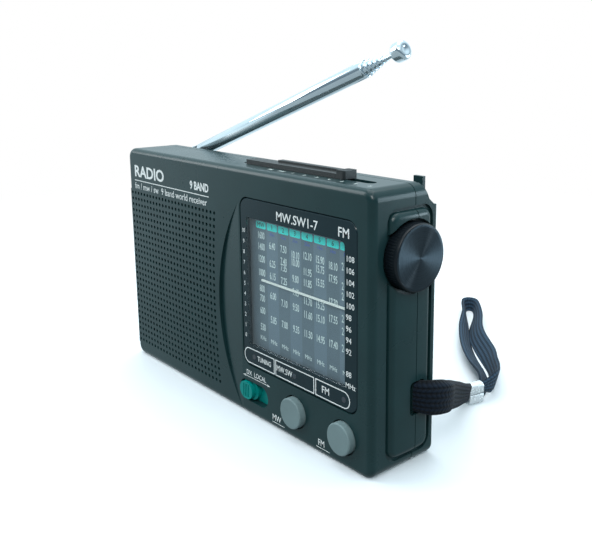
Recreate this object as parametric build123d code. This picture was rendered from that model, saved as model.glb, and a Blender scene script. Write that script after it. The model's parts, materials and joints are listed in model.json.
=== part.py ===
from build123d import *
import math
import os

# Pocket world-band receiver, in millimetres.
# Origin: centre of the case's base. +Z up, the front faces -Y, +X is to the right seen from the front.

os.makedirs("parts", exist_ok=True)

# --- case -----------------------------------------------------------------------------------
WIDTH = 118.0
HEIGHT = 72.0
DEPTH = 22.5
HALF_W = WIDTH / 2
FRONT = -DEPTH / 2
REAR = DEPTH / 2
WALL = 1.8
REAR_WALL = 1.6
FRONT_WALL = 2.2
SKIN = 1.2
LEDGE = 1.0
SPLIT = 3.2
SEAM_W = 0.22
SEAM_DEPTH = 0.45
CORNER_R = 3.0
EDGE_R = 1.8
REAR_EDGE_R = 1.2
INNER_FRONT = FRONT + FRONT_WALL
INNER_REAR = REAR - REAR_WALL
INNER_SIDE = HALF_W - WALL
INNER_TOP = HEIGHT - WALL
GAP = 0.1

# --- speaker and its perforated panel ----------------------------------------------------------
PITCH = 2.0
HOLE_COLUMNS = 26
HOLE_ROWS = 27
HOLE_R = 0.53
GRILLE_LEFT = -56.8
GRILLE_TOP = 57.3
GRILLE_MARGIN = 0.7
COLUMN_BOW = 1.5
SPEAKER_X = -31.9
SPEAKER_Z = 38.5
SPEAKER_R = 20.0
SOUND_HOLE_R = 18.5

# --- crescent hollow beside the dial --------------------------------------------------------------
CRESCENT_LEFT = -5.7
CRESCENT_Z = 31.2
CRESCENT_R = 48.5
CRESCENT_DEPTH = 1.0
CRESCENT_END = 5.4

# --- dial window ------------------------------------------------------------------------------
WINDOW_LEFT = 6.1
WINDOW_RIGHT = 54.2
WINDOW_LOW = 15.3
WINDOW_HIGH = 64.2
WINDOW_R = 3.4
PLATE_RIGHT = 50.9
PLATE_LOW = 20.8
PLATE_T = 0.8

# --- dial drive --------------------------------------------------------------------------------
CORD_Y = -0.8
CORD_R = 0.25
CORD_GAP = 0.04
SHAFT_R = 2.0
SHAFT_Y = 1.5
SHAFT_Z = 54.8
DRUM_X = 28.0
DRUM_Z = 46.0
DRUM_CORD_R = 10.6
DRUM_RIM_R = 11.4
IDLER_X = 50.9
IDLER_HIGH = 66.0
IDLER_LOW = 20.5
IDLER_CORD_R = 2.55
IDLER_RIM_R = 2.3
POINTER_Z = 41.2
POINTER_LEFT = 13.6
POINTER_T = 0.5
RAIL_X = 54.4
RAIL_Y = -5.2
RAIL_R = 0.6
RUN_CLEARANCE = 0.05

# --- tuning knob ---------------------------------------------------------------------------------
KNOB_R = 8.5
KNOB_IN = 58.1
KNOB_OUT = 62.4
KNOB_FLUTES = 60
RECESS_R = 9.3
RECESS_X = 58.0

# --- front controls ----------------------------------------------------------------------------
BUTTON_Z = 8.2
MW_BUTTON_X = 29.5
FM_BUTTON_X = 48.8
BUTTON_R = 4.25
BUTTON_STAND = 1.8
BUTTON_GAP = 0.4
BUTTON_TRAVEL = 0.6
DX_LEFT = 3.9
DX_RIGHT = 17.5
DX_Z = 7.4
DX_HALF = 3.1
DX_TRAVEL = 5.5
BOARD_Y = -5.9
BOARD_T = 1.0
LED_XS = (11.3, 29.5, 49.1)
LED_Z = 18.3
LED_R = 1.0

# --- band selector on the top ------------------------------------------------------------------
SLOT_LEFT = -1.5
SLOT_RIGHT = 51.5
SLOT_Y = -3.2
SLOT_W = 3.0
BAR_LEFT = 1.5
BAR_RIGHT = 43.0
BAR_W = 4.6

# --- raised panel on the right side, with the strap pocket -----------------------------------------
PANEL_OUT = 60.1
PANEL_FRONT = -5.6
PANEL_REAR = 8.4
PANEL_LOW = 3.8
PANEL_HIGH = 66.0
PANEL_R = 2.6
PANEL_EDGE_R = 1.7
PANEL_CROWN_R = 55.0
GROOVE_W = 0.9
GROOVE_DEPTH = 0.7
POCKET = ((55.2, 61.0), (1.0, 6.4), (13.8, 22.6))
POST_X = 58.0
POST_Y = 4.2
POST_R = 0.9

# --- batteries ---------------------------------------------------------------------------------
CELL_R = 7.1
CELL_LEN = 49.5
NUB_LEN = 1.0
CELL_Y = 2.35
CELL_Z = 9.5
CELL_START = -52.0
DOOR_RIGHT = 50.5
DOOR_LOW = 3.4
DOOR_HIGH = 16.6
SHELF_Z = 16.8
SHELF_T = 0.8

# --- boards and fixings ---------------------------------------------------------------------------
PCB_Y = 2.0
PCB_T = 1.2
SCREWS = ((-55.2, 62.0), (-55.2, 24.0), (55.7, 63.6), (55.7, 5.6))
SCREW_R = 0.95
HEAD_R = 1.75
HEAD_SEAT = 8.8

# --- telescopic aerial ------------------------------------------------------------------------------
BAY_Y = 5.6
BAY_Z = 66.2
BAY_RIGHT = 57.0
CHAMFER_LINE = ((5.9, 72.0), (7.9, 67.9), (9.7, 66.4), (12.3, 66.0))
PIVOT = (-50.0, 8.6, 69.0)
RAISED = 19.0
TUBE_R = (2.3, 2.0, 1.7, 1.4, 1.1, 0.825)
TUBE_WALL = (0.25, 0.25, 0.25, 0.25, 0.225, 0.2)
MAIN_LEN = 91.5
TUBE_STEP = 1.5
TUBE_START = 4.2
ROD_R = 0.575
TIP_R = 2.5
ROD_SHOWN = 2.9
TIP_LEN = 3.6
SWIVEL_R = 2.3
HEAD_TURN_R = 2.8
TONGUE_T = 2.3
PIN_R = 0.8

# --- wrist strap, lying on the surface behind the receiver -----------------------------------------------
STRAP_TUBE_R = 1.5
LEAD_ROUTE = (
    (59.2, 4.2, 18.2),
    (61.8, 5.0, 18.2),
    (63.2, 10.6, 17.2),
    (57.6, 18.6, 13.4),
    (52.8, 26.6, 9.2),
    (49.2, 34.2, 5.8),
    (46.9, 40.1, 3.8),
)
LOOP_ROUTE = (
    (48.0, 44.6, 4.7),
    (49.0, 49.0, 4.8),
    (46.4, 55.0, 4.0),
    (41.0, 61.2, 2.8),
    (35.0, 67.4, 2.0),
    (28.4, 73.6, 1.8),
    (21.6, 79.0, 1.8),
    (15.0, 84.8, 1.8),
    (9.2, 91.6, 1.8),
    (3.8, 99.4, 1.8),
    (-2.8, 107.6, 1.8),
    (-6.6, 111.0, 1.8),
    (-9.4, 110.6, 1.8),
    (-9.8, 107.8, 1.8),
    (-6.4, 103.8, 1.8),
    (0.0, 96.8, 1.8),
    (7.4, 87.2, 1.8),
    (16.0, 77.0, 1.8),
    (24.6, 68.6, 1.8),
    (32.2, 62.6, 1.8),
    (38.6, 57.6, 1.9),
    (44.4, 51.2, 2.1),
    (48.0, 44.6, 2.2),
)
CRIMP_START = (46.9, 40.1, 3.4)
CRIMP_END = (48.1, 44.9, 3.4)
CRIMP_TALL = 6.4
CRIMP_THICK = 3.2


def block(x, y, z):
    """A box from its limits along each axis."""
    size = (x[1] - x[0], y[1] - y[0], z[1] - z[0])
    centre = ((x[0] + x[1]) / 2, (y[0] + y[1]) / 2, (z[0] + z[1]) / 2)
    return Pos(*centre) * Box(*size)


def rod_x(x, y, z, radius):
    """A cylinder along X from x[0] to x[1]."""
    return Pos((x[0] + x[1]) / 2, y, z) * Rot(0, 90, 0) * Cylinder(radius, x[1] - x[0])


def rod_y(x, y, z, radius):
    """A cylinder along Y from y[0] to y[1]."""
    return Pos(x, (y[0] + y[1]) / 2, z) * Rot(90, 0, 0) * Cylinder(radius, y[1] - y[0])


def rod_z(x, y, z, radius):
    """A cylinder along Z from z[0] to z[1]."""
    return Pos(x, y, (z[0] + z[1]) / 2) * Cylinder(radius, z[1] - z[0])


def cone_y(x, y, z, radii):
    """A cone frustum along Y whose radius runs from radii[0] at y[0] to radii[1] at y[1]."""
    frustum = Cone(radii[1], radii[0], y[1] - y[0])
    return Pos(x, (y[0] + y[1]) / 2, z) * Rot(90, 0, 0) * frustum


def rounded_plate(x, y, z, radius):
    """A plate in the XZ plane with rounded corners."""
    plate = block(x, y, z)
    return fillet(plate.edges().filter_by(Axis.Y), radius)


def slot_plate(x, y, z, half):
    """A plate in the XZ plane with fully round ends."""
    middle = block((x[0] + half, x[1] - half), y, (z - half, z + half))
    return middle + rod_y(x[0] + half, y, z, half) + rod_y(x[1] - half, y, z, half)


def one(shape):
    """The single solid that a shape holds."""
    return shape.solids().sort_by(SortBy.VOLUME)[-1]


def save(shape, name):
    export_step(shape, "parts/" + name + ".step")


# --- the two case halves --------------------------------------------------------------------------

def case_block():
    """The closed outer form, with its raised side panel, before it is hollowed and split."""
    body = Box(WIDTH, DEPTH, HEIGHT)
    body = fillet(body.edges().filter_by(Axis.Y), CORNER_R)
    body = fillet(body.faces().sort_by(Axis.Y)[0].edges(), EDGE_R)
    body = fillet(body.faces().sort_by(Axis.Y)[-1].edges(), REAR_EDGE_R)
    body = Pos(0, 0, HEIGHT / 2) * body
    groove_y = (PANEL_FRONT - GROOVE_W, PANEL_REAR + GROOVE_W)
    groove_z = (PANEL_LOW - GROOVE_W, PANEL_HIGH + GROOVE_W)
    groove = block((HALF_W - GROOVE_DEPTH, HALF_W + 2), groove_y, groove_z)
    groove = fillet(groove.edges().filter_by(Axis.X), PANEL_R + GROOVE_W)
    panel = block((INNER_SIDE, PANEL_OUT), (PANEL_FRONT, PANEL_REAR), (PANEL_LOW, PANEL_HIGH))
    panel = fillet(panel.edges().filter_by(Axis.X), PANEL_R)
    panel &= rod_z(PANEL_OUT - PANEL_CROWN_R, (PANEL_FRONT + PANEL_REAR) / 2, (-5, 90), PANEL_CROWN_R)
    panel = fillet(panel.faces().sort_by(Axis.X)[-1].edges(), PANEL_EDGE_R)
    return body - groove + panel


def seam_groove():
    """The hairline gap round the outside where the two halves meet."""
    gap = block((-80, 80), (SPLIT - SEAM_W, SPLIT), (-5, 90))
    core = block((-HALF_W + SEAM_DEPTH, HALF_W - SEAM_DEPTH), (SPLIT - 1, SPLIT + 1),
                 (SEAM_DEPTH, HEIGHT - SEAM_DEPTH))
    return gap - fillet(core.edges().filter_by(Axis.Y), CORNER_R - SEAM_DEPTH)


def case_cuts():
    """What is cut through both halves: the knob's recess, its shaft hole and the strap pocket."""
    recess = rod_x((RECESS_X, PANEL_OUT + 1), SHAFT_Y, SHAFT_Z, RECESS_R)
    bore = rod_x((INNER_SIDE - 1, PANEL_OUT), SHAFT_Y, SHAFT_Z, SHAFT_R + RUN_CLEARANCE)
    pocket = block(*POCKET)
    pocket = fillet(pocket.edges().filter_by(Axis.X), 1.2)
    return recess, bore, pocket


def interior():
    """The space inside the walls."""
    room = block((-INNER_SIDE, INNER_SIDE), (INNER_FRONT, INNER_REAR), (WALL, INNER_TOP))
    room = fillet(room.edges().filter_by(Axis.Y), CORNER_R - 1.2)
    bay_wall = block((-HALF_W, HALF_W), (BAY_Y - 1.4, REAR), (BAY_Z - 1.4, HEIGHT))
    pocket_wall = block((POCKET[0][0] - 1, HALF_W), (POCKET[1][0] - 0.8, POCKET[1][1] + 1),
                        (POCKET[2][0] - 1, POCKET[2][1] + 1))
    return room - bay_wall - pocket_wall


def crescent():
    """The shallow hollow whose deep edge is an arc and which fades out at the dial."""
    wedge = Polyline(
        (CRESCENT_LEFT - 1, FRONT + CRESCENT_DEPTH),
        (CRESCENT_END, FRONT),
        (CRESCENT_END, FRONT - 1),
        (CRESCENT_LEFT - 1, FRONT - 1),
        close=True,
    )
    wedge = Pos(0, 0, -10) * extrude(make_face(wedge), HEIGHT + 20)
    disc_x = CRESCENT_LEFT + CRESCENT_R
    return wedge & rod_y(disc_x, (FRONT - 2, FRONT + 3), CRESCENT_Z, CRESCENT_R)


def grille_limits():
    left = GRILLE_LEFT - HOLE_R - GRILLE_MARGIN
    right = GRILLE_LEFT + PITCH * (HOLE_COLUMNS - 1) + HOLE_R + 0.2
    low = GRILLE_TOP - PITCH * (HOLE_ROWS - 1) - HOLE_R - GRILLE_MARGIN
    high = GRILLE_TOP + HOLE_R + GRILLE_MARGIN
    return (left, right), (low, high)


def front_shell(case, cuts):
    recess, bore, pocket = cuts
    shell = case & block((-80, 80), (FRONT - 1, SPLIT), (-5, 90))
    shell -= interior()
    for x, z in SCREWS:
        shell += rod_y(x, (INNER_FRONT - 0.5, SPLIT), z, 1.8)
    for z in ((13.4, 15.0), (64.4, 66.4)):
        shell += block((52.4, INNER_SIDE + 0.5), (INNER_FRONT - 0.5, RAIL_Y + 1.4), z)
    shell -= crescent()
    limits_x, limits_z = grille_limits()
    shell -= block(limits_x, (FRONT - 1, FRONT + SKIN), limits_z)
    shell -= rod_y(SPEAKER_X, (FRONT, INNER_FRONT + 1), SPEAKER_Z, SOUND_HOLE_R)
    shell -= rounded_plate((WINDOW_LEFT, WINDOW_RIGHT), (FRONT - 1, FRONT + SKIN),
                           (WINDOW_LOW, WINDOW_HIGH), WINDOW_R)
    shell -= rounded_plate((WINDOW_LEFT + LEDGE, WINDOW_RIGHT - LEDGE), (FRONT, INNER_FRONT + 0.2),
                           (WINDOW_LOW + LEDGE, WINDOW_HIGH - LEDGE), WINDOW_R - LEDGE)
    shell -= slot_plate((DX_LEFT, DX_RIGHT), (FRONT - 1, INNER_FRONT + 1), DX_Z, DX_HALF)
    for x in (MW_BUTTON_X, FM_BUTTON_X):
        shell -= rod_y(x, (FRONT - 1, INNER_FRONT + 1), BUTTON_Z, BUTTON_R + BUTTON_GAP)
    shell -= band_slot()
    shell -= block((-HALF_W - 1, -INNER_SIDE + 0.5), (-1.9, 1.7), (45.4, 58.6))
    for x, z in SCREWS:
        shell -= rod_y(x, (-3, SPLIT + 1), z, SCREW_R)
    shell -= rod_z(RAIL_X, RAIL_Y, (13.0, 66.0), RAIL_R)
    return one(shell - recess - bore - pocket - seam_groove())


def band_slot():
    """The long slot in the top for the band selector."""
    half = SLOT_W / 2
    middle = block((SLOT_LEFT + half, SLOT_RIGHT - half), (SLOT_Y - half, SLOT_Y + half),
                   (INNER_TOP - 1, HEIGHT + 1))
    ends = [rod_z(x, SLOT_Y, (INNER_TOP - 1, HEIGHT + 1), half)
            for x in (SLOT_LEFT + half, SLOT_RIGHT - half)]
    return middle + ends


def rear_shell(case, cuts):
    recess, bore, pocket = cuts
    shell = case & block((-80, 80), (SPLIT, REAR + 1), (-5, 90))
    shell -= interior() - block((-80, 80), (-20, SPLIT), (-5, 90))
    shell += block((-INNER_SIDE, INNER_SIDE), (SPLIT, INNER_REAR), (SHELF_Z, SHELF_Z + SHELF_T))
    shell += block((49.4, 50.4), (SPLIT, INNER_REAR), (WALL, SHELF_Z))
    shell += block((-54, -51), (5.5, INNER_REAR), (50.5, 53.5))
    for x, z in SCREWS:
        shell += rod_y(x, (SPLIT, REAR - 0.6), z, 2.4) & case
    boss = rod_z(PIVOT[0], PIVOT[1], (BAY_Z - 7.7, BAY_Z), 3.6)
    shell += boss & block((-80, 80), (SPLIT, REAR - 0.1), (-5, 90))
    shell -= block((-80, BAY_RIGHT), (BAY_Y, REAR + 1), (BAY_Z, HEIGHT + 1))
    shell -= bay_chamfer()
    shell -= rod_z(PIVOT[0], PIVOT[1], (BAY_Z - 6.7, BAY_Z + 1), SWIVEL_R + RUN_CLEARANCE)
    shell += block((50.6, 53.7), (REAR - 0.05, REAR + 0.95), (60.0, HEIGHT + 0.4))
    for x, z in SCREWS:
        shell -= rod_y(x, (SPLIT - 1, REAR + 2), z, SCREW_R + 0.15)
        shell -= rod_y(x, (HEAD_SEAT, REAR + 2), z, HEAD_R + 0.15)
    shell -= block((-HALF_W - 1, DOOR_RIGHT + GAP), (INNER_REAR, REAR + 1), (DOOR_LOW - GAP, DOOR_HIGH + GAP))
    shell -= rod_x((-HALF_W - 1, -INNER_SIDE + 1), 6.6, 33.0, 3.0)
    shell = shell - recess - bore - pocket
    shell += rod_z(POST_X, POST_Y, POCKET[2], POST_R)
    return one(shell)


def bay_chamfer():
    """The slanted rear top corner at the right end of the aerial's bay."""
    wedge = Polyline(*CHAMFER_LINE, (CHAMFER_LINE[-1][0], HEIGHT), close=True)
    face = Plane.YZ.offset(BAY_RIGHT - 2) * make_face(wedge)
    return extrude(face, 10, dir=(1, 0, 0))


def speaker_grille():
    """The perforated panel; its columns bow a little away from the dial at mid height."""
    limits_x, limits_z = grille_limits()
    mid_z = GRILLE_TOP - PITCH * (HOLE_ROWS - 1) / 2
    half_height = PITCH * (HOLE_ROWS - 1) / 2
    holes = []
    for column in range(HOLE_COLUMNS):
        bow = COLUMN_BOW * (column / (HOLE_COLUMNS - 1)) ** 2
        for row in range(HOLE_ROWS):
            z = GRILLE_TOP - PITCH * row
            x = GRILLE_LEFT + PITCH * column - bow * (1 - ((z - mid_z) / half_height) ** 2)
            holes.append(Wire.make_circle(HOLE_R, Plane((x, FRONT, z), z_dir=(0, 1, 0))))
    corners = [
        (limits_x[0], FRONT, limits_z[0]),
        (limits_x[1], FRONT, limits_z[0]),
        (limits_x[1], FRONT, limits_z[1]),
        (limits_x[0], FRONT, limits_z[1]),
    ]
    face = Face(Wire.make_polygon([Vector(*c) for c in corners], close=True), holes)
    return extrude(face, SKIN, dir=(0, 1, 0))


# --- dial ----------------------------------------------------------------------------------------

def dial_lens():
    return rounded_plate((WINDOW_LEFT + GAP, WINDOW_RIGHT - GAP), (FRONT + 0.05, FRONT + SKIN),
                         (WINDOW_LOW + GAP, WINDOW_HIGH - GAP), WINDOW_R - GAP)


def dial_scale():
    return block((WINDOW_LEFT - 0.2, PLATE_RIGHT), (INNER_FRONT, INNER_FRONT + PLATE_T),
                 (PLATE_LOW, WINDOW_HIGH))


def dial_pointer():
    front_y = INNER_FRONT - 0.7
    bar = block((POINTER_LEFT, 52.4), (front_y, front_y + 0.4),
                (POINTER_Z - POINTER_T / 2, POINTER_Z + POINTER_T / 2))
    arm = block((51.2, 52.4), (front_y, -7.0), (POINTER_Z - 1, POINTER_Z + 1))
    carriage = block((51.2, 55.8), (-7.2, -0.7), (POINTER_Z - 2, POINTER_Z + 2))
    rail_hole = rod_z(RAIL_X, RAIL_Y, (POINTER_Z - 3, POINTER_Z + 3), RAIL_R + RUN_CLEARANCE)
    cord_hole = rod_z(IDLER_X + IDLER_CORD_R, CORD_Y, (POINTER_Z - 3, POINTER_Z + 3), CORD_R + 0.1)
    return one(bar + arm + carriage - rail_hole - cord_hole)


def grooved_wheel(x, z, rim, cord_radius, bore, y):
    """A pulley about Y with a groove for the dial cord."""
    wheel = rod_y(x, y, z, rim)
    groove_floor = cord_radius - CORD_R - CORD_GAP
    band = (CORD_Y - CORD_R - 0.1, CORD_Y + CORD_R + 0.1)
    ring = rod_y(x, band, z, rim + 1) - rod_y(x, band, z, groove_floor)
    return one(wheel - ring - rod_y(x, (y[0] - 1, y[1] + 1), z, bore))


def drum():
    rim = (CORD_Y - 0.9, CORD_Y + 0.9)
    wheel = grooved_wheel(DRUM_X, DRUM_Z, DRUM_RIM_R, DRUM_CORD_R, 1.5, rim)
    for turn in range(5):
        angle = math.radians(72 * turn + 36)
        x = DRUM_X + 6.2 * math.cos(angle)
        z = DRUM_Z + 6.2 * math.sin(angle)
        wheel -= rod_y(x, (rim[0] - 1, rim[1] + 1), z, 2.4)
    hub = rod_y(DRUM_X, (rim[1], PCB_Y - 0.5), DRUM_Z, 2.8) - rod_y(DRUM_X, (-3, 3), DRUM_Z, 1.5)
    return one(wheel + hub)


def idler(z):
    groove_r = IDLER_CORD_R - CORD_R - CORD_GAP
    hub = rod_y(IDLER_X, (CORD_Y - 0.8, CORD_Y + 0.8), z, groove_r)
    rims = [rod_y(IDLER_X, y, z, IDLER_RIM_R + 0.45)
            for y in ((CORD_Y - 0.8, CORD_Y - 0.4), (CORD_Y + 0.4, CORD_Y + 0.8))]
    bore = rod_y(IDLER_X, (-3, 3), z, 0.75 + RUN_CLEARANCE)
    return one(hub + rims - bore)


def idler_pins():
    return Compound([rod_y(IDLER_X, (CORD_Y - 1.2, PCB_Y + PCB_T), z, 0.75).solid()
                     for z in (IDLER_HIGH, IDLER_LOW)])


def dial_cord():
    """The closed cord round the drum and the two idlers."""
    wheels = [
        (Vector(DRUM_X, CORD_Y, DRUM_Z), DRUM_CORD_R),
        (Vector(IDLER_X, CORD_Y, IDLER_HIGH), IDLER_CORD_R),
        (Vector(IDLER_X, CORD_Y, IDLER_LOW), IDLER_CORD_R),
    ]
    spans = []
    for i, (centre, radius) in enumerate(wheels):
        following, next_radius = wheels[(i + 1) % 3]
        step = following - centre
        along = step.normalized()
        outward = Vector(-along.Z, 0, along.X)
        lean = (radius - next_radius) / step.length
        normal = along * lean + outward * math.sqrt(1 - lean * lean)
        spans.append((centre + normal * radius, following + normal * next_radius))
    edges = []
    for i, (start, end) in enumerate(spans):
        centre, radius = wheels[(i + 1) % 3]
        leave = spans[(i + 1) % 3][0]
        middle = ((end - centre) + (leave - centre)).normalized()
        if i == 2:
            middle = Vector(-1, 0, 0)
        edges.append(Line(start, end))
        edges.append(ThreePointArc(end, centre + middle * radius, leave))
    path = Wire([edge.edge() for edge in edges])
    start = spans[0][0]
    heading = spans[0][1] - spans[0][0]
    section = Plane(start, z_dir=heading) * Circle(CORD_R)
    return one(sweep(section, path=path))


# --- tuning ----------------------------------------------------------------------------------------

def tuning_knob():
    knob = rod_x((KNOB_IN, KNOB_OUT), 0, 0, KNOB_R)
    knob = chamfer(knob.edges().filter_by(GeomType.CIRCLE).sort_by(Axis.X)[-1], 0.5)
    for flute in range(KNOB_FLUTES):
        angle = 2 * math.pi * flute / KNOB_FLUTES
        y = (KNOB_R + 0.12) * math.cos(angle)
        z = (KNOB_R + 0.12) * math.sin(angle)
        knob -= rod_x((KNOB_IN - 1, KNOB_OUT - 1.1), y, z, 0.3)
    knob = Pos(0, SHAFT_Y, SHAFT_Z) * knob
    return one(knob - rod_x((KNOB_IN - 1, 61.0), SHAFT_Y, SHAFT_Z, SHAFT_R))


def tuning_shaft():
    return rod_x((44.0, 61.0), SHAFT_Y, SHAFT_Z, SHAFT_R)


def shaft_bracket():
    front = block((44.4, 46.4), (-2.6, PCB_Y), (49.5, 60.1))
    back = block((44.4, 46.4), (PCB_Y, 5.2), (51.3, 58.3))
    return one(front + back - rod_x((40, 50), SHAFT_Y, SHAFT_Z, SHAFT_R + RUN_CLEARANCE))


# --- front controls ---------------------------------------------------------------------------------

def press_button(x):
    cap = rod_y(x, (FRONT - BUTTON_STAND, INNER_FRONT), BUTTON_Z, BUTTON_R)
    cap = fillet(cap.edges().filter_by(GeomType.CIRCLE).sort_by(Axis.Y)[0], 0.4)
    flange = rod_y(x, (INNER_FRONT, INNER_FRONT + 0.6), BUTTON_Z, BUTTON_R + 0.6)
    stem = rod_y(x, (INNER_FRONT + 0.6, INNER_FRONT + 0.75), BUTTON_Z, 1.5)
    return one(cap + flange + stem)


def press_switch(x):
    body = block((x - 3, x + 3), (BOARD_Y - 1.1, BOARD_Y), (BUTTON_Z - 3, BUTTON_Z + 3))
    top = INNER_FRONT + 0.75 + BUTTON_TRAVEL + 0.05
    return one(body + rod_y(x, (top, BOARD_Y - 1.1), BUTTON_Z, 1.2))


def dx_knob():
    """The local/distance slider: a grip on a wide skirt that hides the slot."""
    skirt = block((DX_LEFT - DX_TRAVEL - 0.6, DX_RIGHT + 0.6), (INNER_FRONT + 0.05, INNER_FRONT + 0.6),
                  (DX_Z - DX_HALF - 0.6, DX_Z + DX_HALF + 0.6))
    step = slot_plate((DX_LEFT + 0.3, DX_RIGHT - DX_TRAVEL - 0.3), (FRONT + 0.9, INNER_FRONT + 0.1),
                      DX_Z, DX_HALF - 0.3)
    grip = slot_plate((DX_LEFT + 0.6, DX_LEFT + 6.6), (FRONT - 0.5, FRONT + 1.0), DX_Z, DX_HALF - 0.5)
    for ridge in range(4):
        x = DX_LEFT + 2.3 + 0.8 * ridge
        grip -= block((x, x + 0.4), (FRONT - 1, FRONT - 0.15), (DX_Z - 2, DX_Z + 2))
    nub = block((10.0, 12.0), (INNER_FRONT + 0.6, INNER_FRONT + 0.9), (DX_Z - 1, DX_Z + 1))
    return one(skirt + step + grip + nub)


def dx_switch_body():
    return block((6.5, 22.0), (INNER_FRONT + 1.0, BOARD_Y), (DX_Z - 2.6, DX_Z + 2.6))


def switch_board():
    return block((5.0, 51.4), (BOARD_Y, BOARD_Y + BOARD_T), (2.4, 20.4))


def led(x):
    lamp = rod_y(x, (FRONT + SKIN + 0.2, BOARD_Y), LED_Z, LED_R)
    lamp = fillet(lamp.edges().filter_by(GeomType.CIRCLE).sort_by(Axis.Y)[0], 0.6)
    collar = rod_y(x, (BOARD_Y - 0.6, BOARD_Y), LED_Z, LED_R + 0.3)
    return one(lamp + collar)


# --- band selector ---------------------------------------------------------------------------------

def band_slider():
    low = HEIGHT + 0.05
    half = BAR_W / 2
    bar = block((BAR_LEFT, BAR_RIGHT), (SLOT_Y - half, SLOT_Y + half), (low, HEIGHT + 1.3))
    bar = fillet(bar.edges().filter_by(Axis.Z), 0.6)
    ridge = block((13.0, BAR_RIGHT - 3), (SLOT_Y + 0.5, SLOT_Y + half - 0.1), (low, HEIGHT + 1.9))
    grip = block((BAR_RIGHT - 3.2, BAR_RIGHT), (SLOT_Y - half, SLOT_Y + half), (low, HEIGHT + 2.2))
    grip = fillet(grip.edges().filter_by(Axis.Z), 0.6)
    for rib in range(3):
        x = BAR_RIGHT - 2.6 + 0.8 * rib
        grip -= block((x, x + 0.35), (SLOT_Y - 4, SLOT_Y + 4), (HEIGHT + 1.9, HEIGHT + 3))
    stem = block((18.0, 26.0), (SLOT_Y - 1.2, SLOT_Y + 1.2), (INNER_TOP - 0.9, low + 0.1))
    return one(bar + ridge + grip + stem)


def band_switch_body():
    return block((4.0, 46.5), (-7.4, -1.6), (64.6, 69.2))


# --- boards, speaker and the small parts inside ------------------------------------------------------

def main_board():
    board = block((-4.0, 52.4), (PCB_Y, PCB_Y + PCB_T), (19.0, 69.0))
    board -= block((43.0, 60.0), (0, 5), (51.0, 58.6))
    board -= rod_y(DRUM_X, (0, 5), DRUM_Z, 2.0)
    for z in (IDLER_HIGH, IDLER_LOW):
        board -= rod_y(IDLER_X, (0, 5), z, 0.75)
    return one(board)


def tuning_capacitor():
    body = block((DRUM_X - 10, DRUM_X + 10), (PCB_Y + PCB_T, 9.3), (DRUM_Z - 10, DRUM_Z + 10))
    return one(body - rod_y(DRUM_X, (0, 6.0), DRUM_Z, 1.5 + RUN_CLEARANCE))


def capacitor_shaft():
    return rod_y(DRUM_X, (CORD_Y - 1.2, 6.0), DRUM_Z, 1.5)


def speaker_frame():
    rim = rod_y(SPEAKER_X, (INNER_FRONT, INNER_FRONT + 1.2), SPEAKER_Z, SPEAKER_R)
    back_y = INNER_FRONT + 8.5
    basket = cone_y(SPEAKER_X, (INNER_FRONT + 1.2, back_y), SPEAKER_Z, (SPEAKER_R - 1, 9.0))
    inside = cone_y(SPEAKER_X, (INNER_FRONT + 1.2, back_y - 1), SPEAKER_Z, (SPEAKER_R - 2, 8.6))
    hole = rod_y(SPEAKER_X, (INNER_FRONT - 1, INNER_FRONT + 1.2), SPEAKER_Z, SOUND_HOLE_R - 0.5)
    return one(rim + basket - inside - hole)


def speaker_cone():
    front_y = INNER_FRONT + 0.3
    back_y = INNER_FRONT + 5.6
    outer = cone_y(SPEAKER_X, (front_y, back_y), SPEAKER_Z, (17.6, 6.0))
    inner = cone_y(SPEAKER_X, (front_y, back_y - 0.5), SPEAKER_Z, (17.1, 5.4))
    cap = Pos(SPEAKER_X, back_y - 0.6, SPEAKER_Z) * Sphere(5.2)
    cap = cap & block((-60, 0), (front_y, back_y - 0.4), (0, 70))
    return one(outer - inner + cap)


def speaker_magnet():
    back_y = INNER_FRONT + 8.5
    return rod_y(SPEAKER_X, (back_y, back_y + 5.5), SPEAKER_Z, 9.0)


def ferrite_rod():
    return rod_x((-52.0, -12.0), -3.6, 65.2, 2.5)


def antenna_coil():
    return one(rod_x((-42.0, -29.0), -3.6, 65.2, 3.2) - rod_x((-50, -20), -3.6, 65.2, 2.5))


def rod_holder():
    cradle = block((-22.0, -18.0), (-7.2, 0.0), (61.6, INNER_TOP))
    return one(cradle - rod_x((-30, -10), -3.6, 65.2, 2.5))


def transformers():
    places = [(4.0, 27.0), (11.6, 27.0), (4.0, 35.0)]
    return Compound([block((x - 3, x + 3), (PCB_Y - 6.5, PCB_Y), (z - 3, z + 3)).solid() for x, z in places])


def receiver_chip():
    chip = block((-1.0, 13.0), (PCB_Y - 2.2, PCB_Y), (49.0, 57.0))
    return chamfer(chip.edges().filter_by(Axis.X), 0.3)


def electrolytics():
    return Compound([rod_y(x, (PCB_Y + PCB_T, 9.0), z, 2.5).solid() for x, z in ((3.0, 30.0), (10.0, 30.0))])


def volume_wheel():
    wheel = rod_y(-52.5, (-1.6, 1.4), 52.0, 7.8)
    for notch in range(40):
        angle = 2 * math.pi * notch / 40
        x = -52.5 + 7.95 * math.cos(angle)
        z = 52.0 + 7.95 * math.sin(angle)
        wheel -= rod_y(x, (-3, 3), z, 0.35)
    return one(wheel - rod_y(-52.5, (-3, 3), 52.0, 1.5))


def volume_pot():
    return one(rod_y(-52.5, (1.8, 5.5), 52.0, 4.4) + rod_y(-52.5, (-2.0, 1.8), 52.0, 1.45))


def earphone_jack():
    body = block((-INNER_SIDE, -46.0), (3.5, 9.6), (29.6, 36.4))
    nose = rod_x((-58.6, -INNER_SIDE), 6.6, 33.0, 2.8)
    return one(body + nose - rod_x((-60, -47.5), 6.6, 33.0, 1.8))


# --- batteries ----------------------------------------------------------------------------------------

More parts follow.
